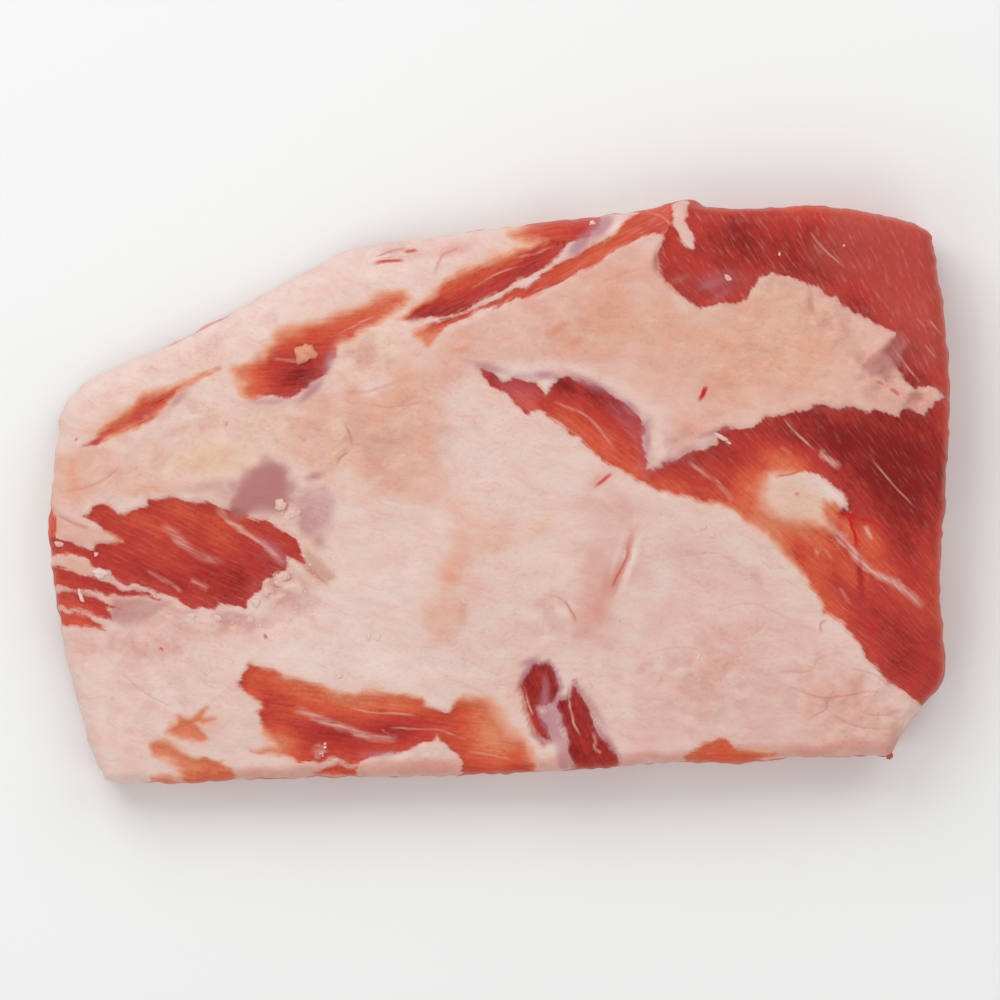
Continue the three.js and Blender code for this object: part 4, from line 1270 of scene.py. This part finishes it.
class Shader:
    """A short way to write the nodes of one material."""

    def __init__(self, name):
        self.material = bpy.data.materials.new(name)
        self.material.use_nodes = True
        self.tree = self.material.node_tree
        self.surface = self.tree.nodes["Principled BSDF"]

    def put(self, socket, value):
        if isinstance(value, bpy.types.NodeSocket):
            self.tree.links.new(value, socket)
        else:
            socket.default_value = linear(value) if socket.type == "RGBA" else value

    def node(self, kind, inputs=None, **settings):
        made = self.tree.nodes.new(kind)
        for key, value in settings.items():
            setattr(made, key, value)
        for key, value in (inputs or {}).items():
            self.put(made.inputs[key], value)
        return made

    def set(self, **inputs):
        for key, value in inputs.items():
            self.put(self.surface.inputs[key.replace("_", " ")], value)

    def attribute(self, name):
        return self.node("ShaderNodeAttribute", attribute_name=name)

    def number(self, name):
        return self.attribute(name).outputs["Fac"]

    def three(self, name):
        return self.node("ShaderNodeSeparateXYZ", {0: self.attribute(name).outputs["Vector"]}).outputs

    def place(self):
        """The point in millimetres."""
        return self.scaled(self.node("ShaderNodeTexCoord").outputs["Object"], (1 / MM,) * 3)

    def math(self, operation, a, b=0.0):
        return self.node("ShaderNodeMath", {0: a, 1: b}, operation=operation).outputs[0]

    def add(self, *values):
        total = values[0]
        for value in values[1:]:
            total = self.math("ADD", total, value)
        return total

    def times(self, *values):
        total = values[0]
        for value in values[1:]:
            total = self.math("MULTIPLY", total, value)
        return total

    def span(self, value, low, high, to_low=0.0, to_high=1.0):
        inputs = {0: value, 1: low, 2: high, 3: to_low, 4: to_high}
        return self.node("ShaderNodeMapRange", inputs, interpolation_type="SMOOTHSTEP").outputs[0]

    def scaled(self, vector, factors):
        inputs = {0: vector, 1: factors}
        return self.node("ShaderNodeVectorMath", inputs, operation="MULTIPLY").outputs[0]

    def noise(self, vector, scale=1.0, detail=2.0, roughness=0.5):
        inputs = {"Vector": vector, "Scale": scale, "Detail": detail, "Roughness": roughness}
        return self.node("ShaderNodeTexNoise", inputs).outputs["Fac"]

    def mix(self, share, a, b, blend="MIX"):
        inputs = {0: share, 6: a, 7: b}
        return self.node("ShaderNodeMix", inputs, data_type="RGBA", blend_type=blend).outputs[2]

    def darken(self, share, colour, tone):
        """A colour darkened by a tone that multiplies it."""
        return self.mix(share, colour, tone, "MULTIPLY")


def fat_colour(s, fine, film, wrinkle):
    """Pale fat, drifting between white, rose, peach and cream, with painted shade along the grooves of
    its folds.
    """
    peach, rose, cream = s.three("warm")
    white, _, _ = s.three("cool")
    _, grain, _ = s.three("form")
    colour = s.mix(cream, FAT_PALE, FAT_CREAM)
    colour = s.mix(peach, colour, FAT_PEACH)
    colour = s.mix(rose, colour, FAT_ROSE)
    colour = s.mix(white, colour, FAT_WHITE)
    colour = s.darken(s.span(film, 0.4, 0.7, 0.0, 0.7), colour, FAT_STAIN_AND_SHADE)
    colour = s.mix(s.span(film, 0.28, 0.44, 0.2, 0.0), colour, FAT_WHITE)
    # Painted shade: darker along the grooves of the film's folds, and pinker along them in places.
    colour = s.darken(s.times(s.span(wrinkle, 0.0, 0.05, 0.5, 0.0), grain), colour, FAT_STAIN_AND_SHADE)
    colour = s.darken(s.times(s.span(fine, 0.28, 0.42, 1.2, 0.0), grain), colour, FAT_STAIN_AND_SHADE)
    fold_shade = s.times(s.span(wrinkle, 0.0, 0.04, 0.1, 0.0), s.span(film, 0.42, 0.6), grain)
    colour = s.mix(fold_shade, colour, CREASE_SHADE_PINK)
    return s.mix(s.times(s.span(fine, 0.64, 0.78, 0.0, 0.4), grain), colour, FAT_WHITE)


def lean_colour(s, fine, fibre, threads):
    """Red lean, streaked along its fibres, with pale flecks between them."""
    streaks = s.add(s.span(threads, 0.25, 0.75, -0.17, 0.17), s.span(fine, 0.3, 0.7, -0.12, 0.12))
    depth = s.add(s.number("deep"), streaks)
    colour = s.mix(s.span(depth, 0.0, 1.0), LEAN_RED, LEAN_DEEP)
    colour = s.mix(s.span(depth, -0.8, 0.1, 1.0, 0.0), colour, LEAN_ORANGE)
    colour = s.mix(s.span(depth, -1.7, -0.6, 1.0, 0.0), colour, LEAN_PALE)
    flecks = s.noise(s.scaled(fibre, (0.2, 1.3, 1.0)), 1.0, 1.0, 0.5)
    pale = s.times(s.span(flecks, 0.52, 0.8, 0.04, 0.5), s.span(fine, 0.3, 0.6, 0.4, 1.0))
    return s.mix(s.times(s.three("form")[0], pale), colour, SINEW_PINK)


def window_colour(s, fat, red, torn, bare, fade):
    """Fat turning to lean at a window's edge, torn where it is crisp."""
    soft = s.mix(s.span(bare, 0.0, 0.45), fat, FADE_PEACH)
    soft = s.mix(s.span(bare, 0.2, 0.75), soft, FADE_ORANGE)
    soft = s.mix(s.span(bare, 0.5, 1.1), soft, red)
    thin_fat = s.mix(s.span(torn, -1.8, 0.2, 0.0, 0.5), fat, SINEW_PINK)
    crisp = s.mix(s.span(bare, 0.1, 0.9), thin_fat, red)
    return s.mix(s.span(fade, 1.4, 3.0), crisp, soft)


def covered_colour(s, colour, film, threads):
    """The colour under veils of skin, with sinews, creases and veins drawn over it; the creases' darker
    pink is partly painted shade.
    """
    _, veil, lilac = s.three("cool")
    # The veil's brown, also painted shade in the crumbly fat's gaps.
    colour = s.mix(s.times(veil, 0.9), colour, VEIL_AND_SHADE_BROWN)
    colour = s.mix(s.times(lilac, 0.75), colour, VEIL_LILAC)
    wander = s.span(film, 0.25, 0.75, -0.5, 0.5)
    blood = s.mix(s.span(s.number("deep"), 1.4, 2.6), BLOOD, CLOT)
    sides, strengths = s.three("line_side"), s.three("line_strength")
    streaky = s.span(threads, 0.35, 0.65, 0.3, 1.2)
    for k, (tone, core) in enumerate(((SINEW_PINK, 0.1), (CREASE_SHADE_PINK, 0.2), (blood, 0.4))):
        off = s.math("ABSOLUTE", s.add(sides[k], wander))
        share = s.times(s.span(off, core, 1.3, 1.0, 0.0), strengths[k])
        colour = s.mix(s.times(share, streaky) if tone is SINEW_PINK else share, colour, tone)
    return colour


def meat_ridge(s, bareness, fine, film, threads, wrinkle):
    """The finest relief: threads on the lean, and folds of film on the fat."""
    on_lean = s.times(bareness, s.span(threads, 0.2, 0.8, -0.08, 0.08))
    folds = s.add(s.span(film, 0.25, 0.75, -0.08, 0.08), s.span(wrinkle, 0.0, 0.1, -0.04, 0.0))
    on_fat = s.times(s.span(bareness, 0.0, 1.0, 1.0, 0.0), folds)
    return s.add(on_lean, s.span(fine, 0.2, 0.8, -0.05, 0.05), on_fat)


def meat_material():
    """Fat and lean as the mesh says, moist and a little translucent."""
    s = Shader("raw_lamb")
    fibre = s.attribute("fibre").outputs["Vector"]
    film_place = s.attribute("film").outputs["Vector"]
    fine = s.noise(s.place(), 0.8, 2.0, 0.6)
    film = s.noise(film_place, 1.0, 3.0, 0.5)
    threads = s.noise(s.scaled(fibre, (0.14, 1.2, 1.0)), 1.0, 2.0, 0.6)
    wrinkle = s.math("ABSOLUTE", s.add(s.noise(film_place, 1.8, 1.0, 0.5), -0.5))

    fat = fat_colour(s, fine, film, wrinkle)
    red = lean_colour(s, fine, fibre, threads)
    rim_light = s.times(s.span(s.three("form")[2], 0.2, 2.2, 0.6, 0.0), s.span(film, 0.3, 0.6))
    red = s.mix(rim_light, red, LEAN_ORANGE)
    fade = s.number("fade")
    torn = s.add(
        s.number("lean"), s.span(threads, 0.2, 0.8, -0.35, 0.35), s.span(fine, 0.2, 0.8, -0.2, 0.2),
        s.span(film, 0.2, 0.8, -0.2, 0.2),
    )
    bare = s.add(s.math("DIVIDE", torn, fade), 0.5)
    bareness = s.span(bare, 0.1, 0.9)
    colour = covered_colour(s, window_colour(s, fat, red, torn, bare, fade), film, threads)

    rough = s.add(s.span(bareness, 0.0, 1.0, 0.5, 0.4), s.span(film, 0.3, 0.7, -0.08, 0.08))
    ridge = meat_ridge(s, bareness, fine, film, threads, wrinkle)
    bump = s.node("ShaderNodeBump", {"Strength": 0.8, "Distance": MM, "Height": ridge})
    s.set(Base_Color=colour, Roughness=rough, Normal=bump.outputs["Normal"], Specular_IOR_Level=0.2)
    s.set(Subsurface_Weight=0.12, Subsurface_Radius=(1.0, 0.4, 0.25), Subsurface_Scale=MM)
    return s.material


def bit_material():
    """Loose fat, from white over peach to red."""
    s = Shader("loose_fat")
    tint = s.number("tint")
    fine = s.noise(s.place(), 0.9, 3.0, 0.6)
    colour = s.mix(s.span(fine, 0.35, 0.65), FAT_WHITE, FAT_PALE)
    colour = s.mix(s.span(tint, 0.0, 1.0), colour, FAT_PEACH)
    colour = s.mix(s.span(tint, 1.0, 2.0), colour, LEAN_RED)
    ridge = s.span(fine, 0.2, 0.8, 0.0, 0.15)
    bump = s.node("ShaderNodeBump", {"Strength": 0.6, "Distance": MM, "Height": ridge})
    rough = s.span(fine, 0.3, 0.7, 0.38, 0.5)
    s.set(Base_Color=colour, Roughness=rough, Normal=bump.outputs["Normal"], Specular_IOR_Level=0.3)
    s.set(Subsurface_Weight=0.15, Subsurface_Radius=(1.0, 0.5, 0.3), Subsurface_Scale=MM)
    return s.material


def make_stage():
    """A pale floor, soft lights all round and an even sky."""
    bpy.ops.mesh.primitive_grid_add(
        x_subdivisions=8, y_subdivisions=8, size=FLOOR_SIZE, location=(0, 0, -FLOOR_DROP)
    )
    floor = bpy.context.object
    floor.name = "floor"
    s = Shader("pale_floor")
    s.set(Base_Color=FLOOR_WHITE, Roughness=0.8, Specular_IOR_Level=0.2)
    floor.data.materials.append(s.material)

    for azimuth, elevation, power in LIGHTS:
        lamp = bpy.data.lights.new("soft_light", "AREA")
        lamp.shape = "DISK"
        lamp.size = LIGHT_SIZE
        lamp.energy = power
        light = bpy.data.objects.new("soft_light", lamp)
        turn, rise = math.radians(azimuth), math.radians(elevation)
        light.location = (
            LIGHT_DISTANCE * math.cos(rise) * math.cos(turn),
            LIGHT_DISTANCE * math.cos(rise) * math.sin(turn),
            LIGHT_DISTANCE * math.sin(rise),
        )
        light.rotation_euler = (math.pi / 2 - rise, 0, turn + math.pi / 2)
        bpy.context.scene.collection.objects.link(light)

    world = bpy.data.worlds.new("even_light")
    world.use_nodes = True
    sky = world.node_tree.nodes["Background"]
    sky.inputs["Color"].default_value = (1, 1, 1, 1)
    sky.inputs["Strength"].default_value = WORLD_STRENGTH
    bpy.context.scene.world = world
    bpy.context.scene.view_settings.view_transform = "Standard"


def make_camera():
    """A camera far above the slab, so that its view is nearly parallel."""
    lens = bpy.data.cameras.new("camera")
    lens.sensor_width = SENSOR_WIDTH
    lens.lens = SENSOR_WIDTH * (CAMERA_HEIGHT - VIEW_PLANE) / VIEW_WIDTH
    camera = bpy.data.objects.new("camera", lens)
    camera.location = (VIEW_CENTRE[0] * MM, VIEW_CENTRE[1] * MM, CAMERA_HEIGHT * MM)
    bpy.context.scene.collection.objects.link(camera)
    bpy.context.scene.camera = camera


make_camera()
make_stage()

slab, top = make_slab()
slab.data.materials.append(meat_material())
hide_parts(NODE)
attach(slab, BODY)

bits = make_bits(top)
bits.data.materials.append(bit_material())
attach(bits, BODY)
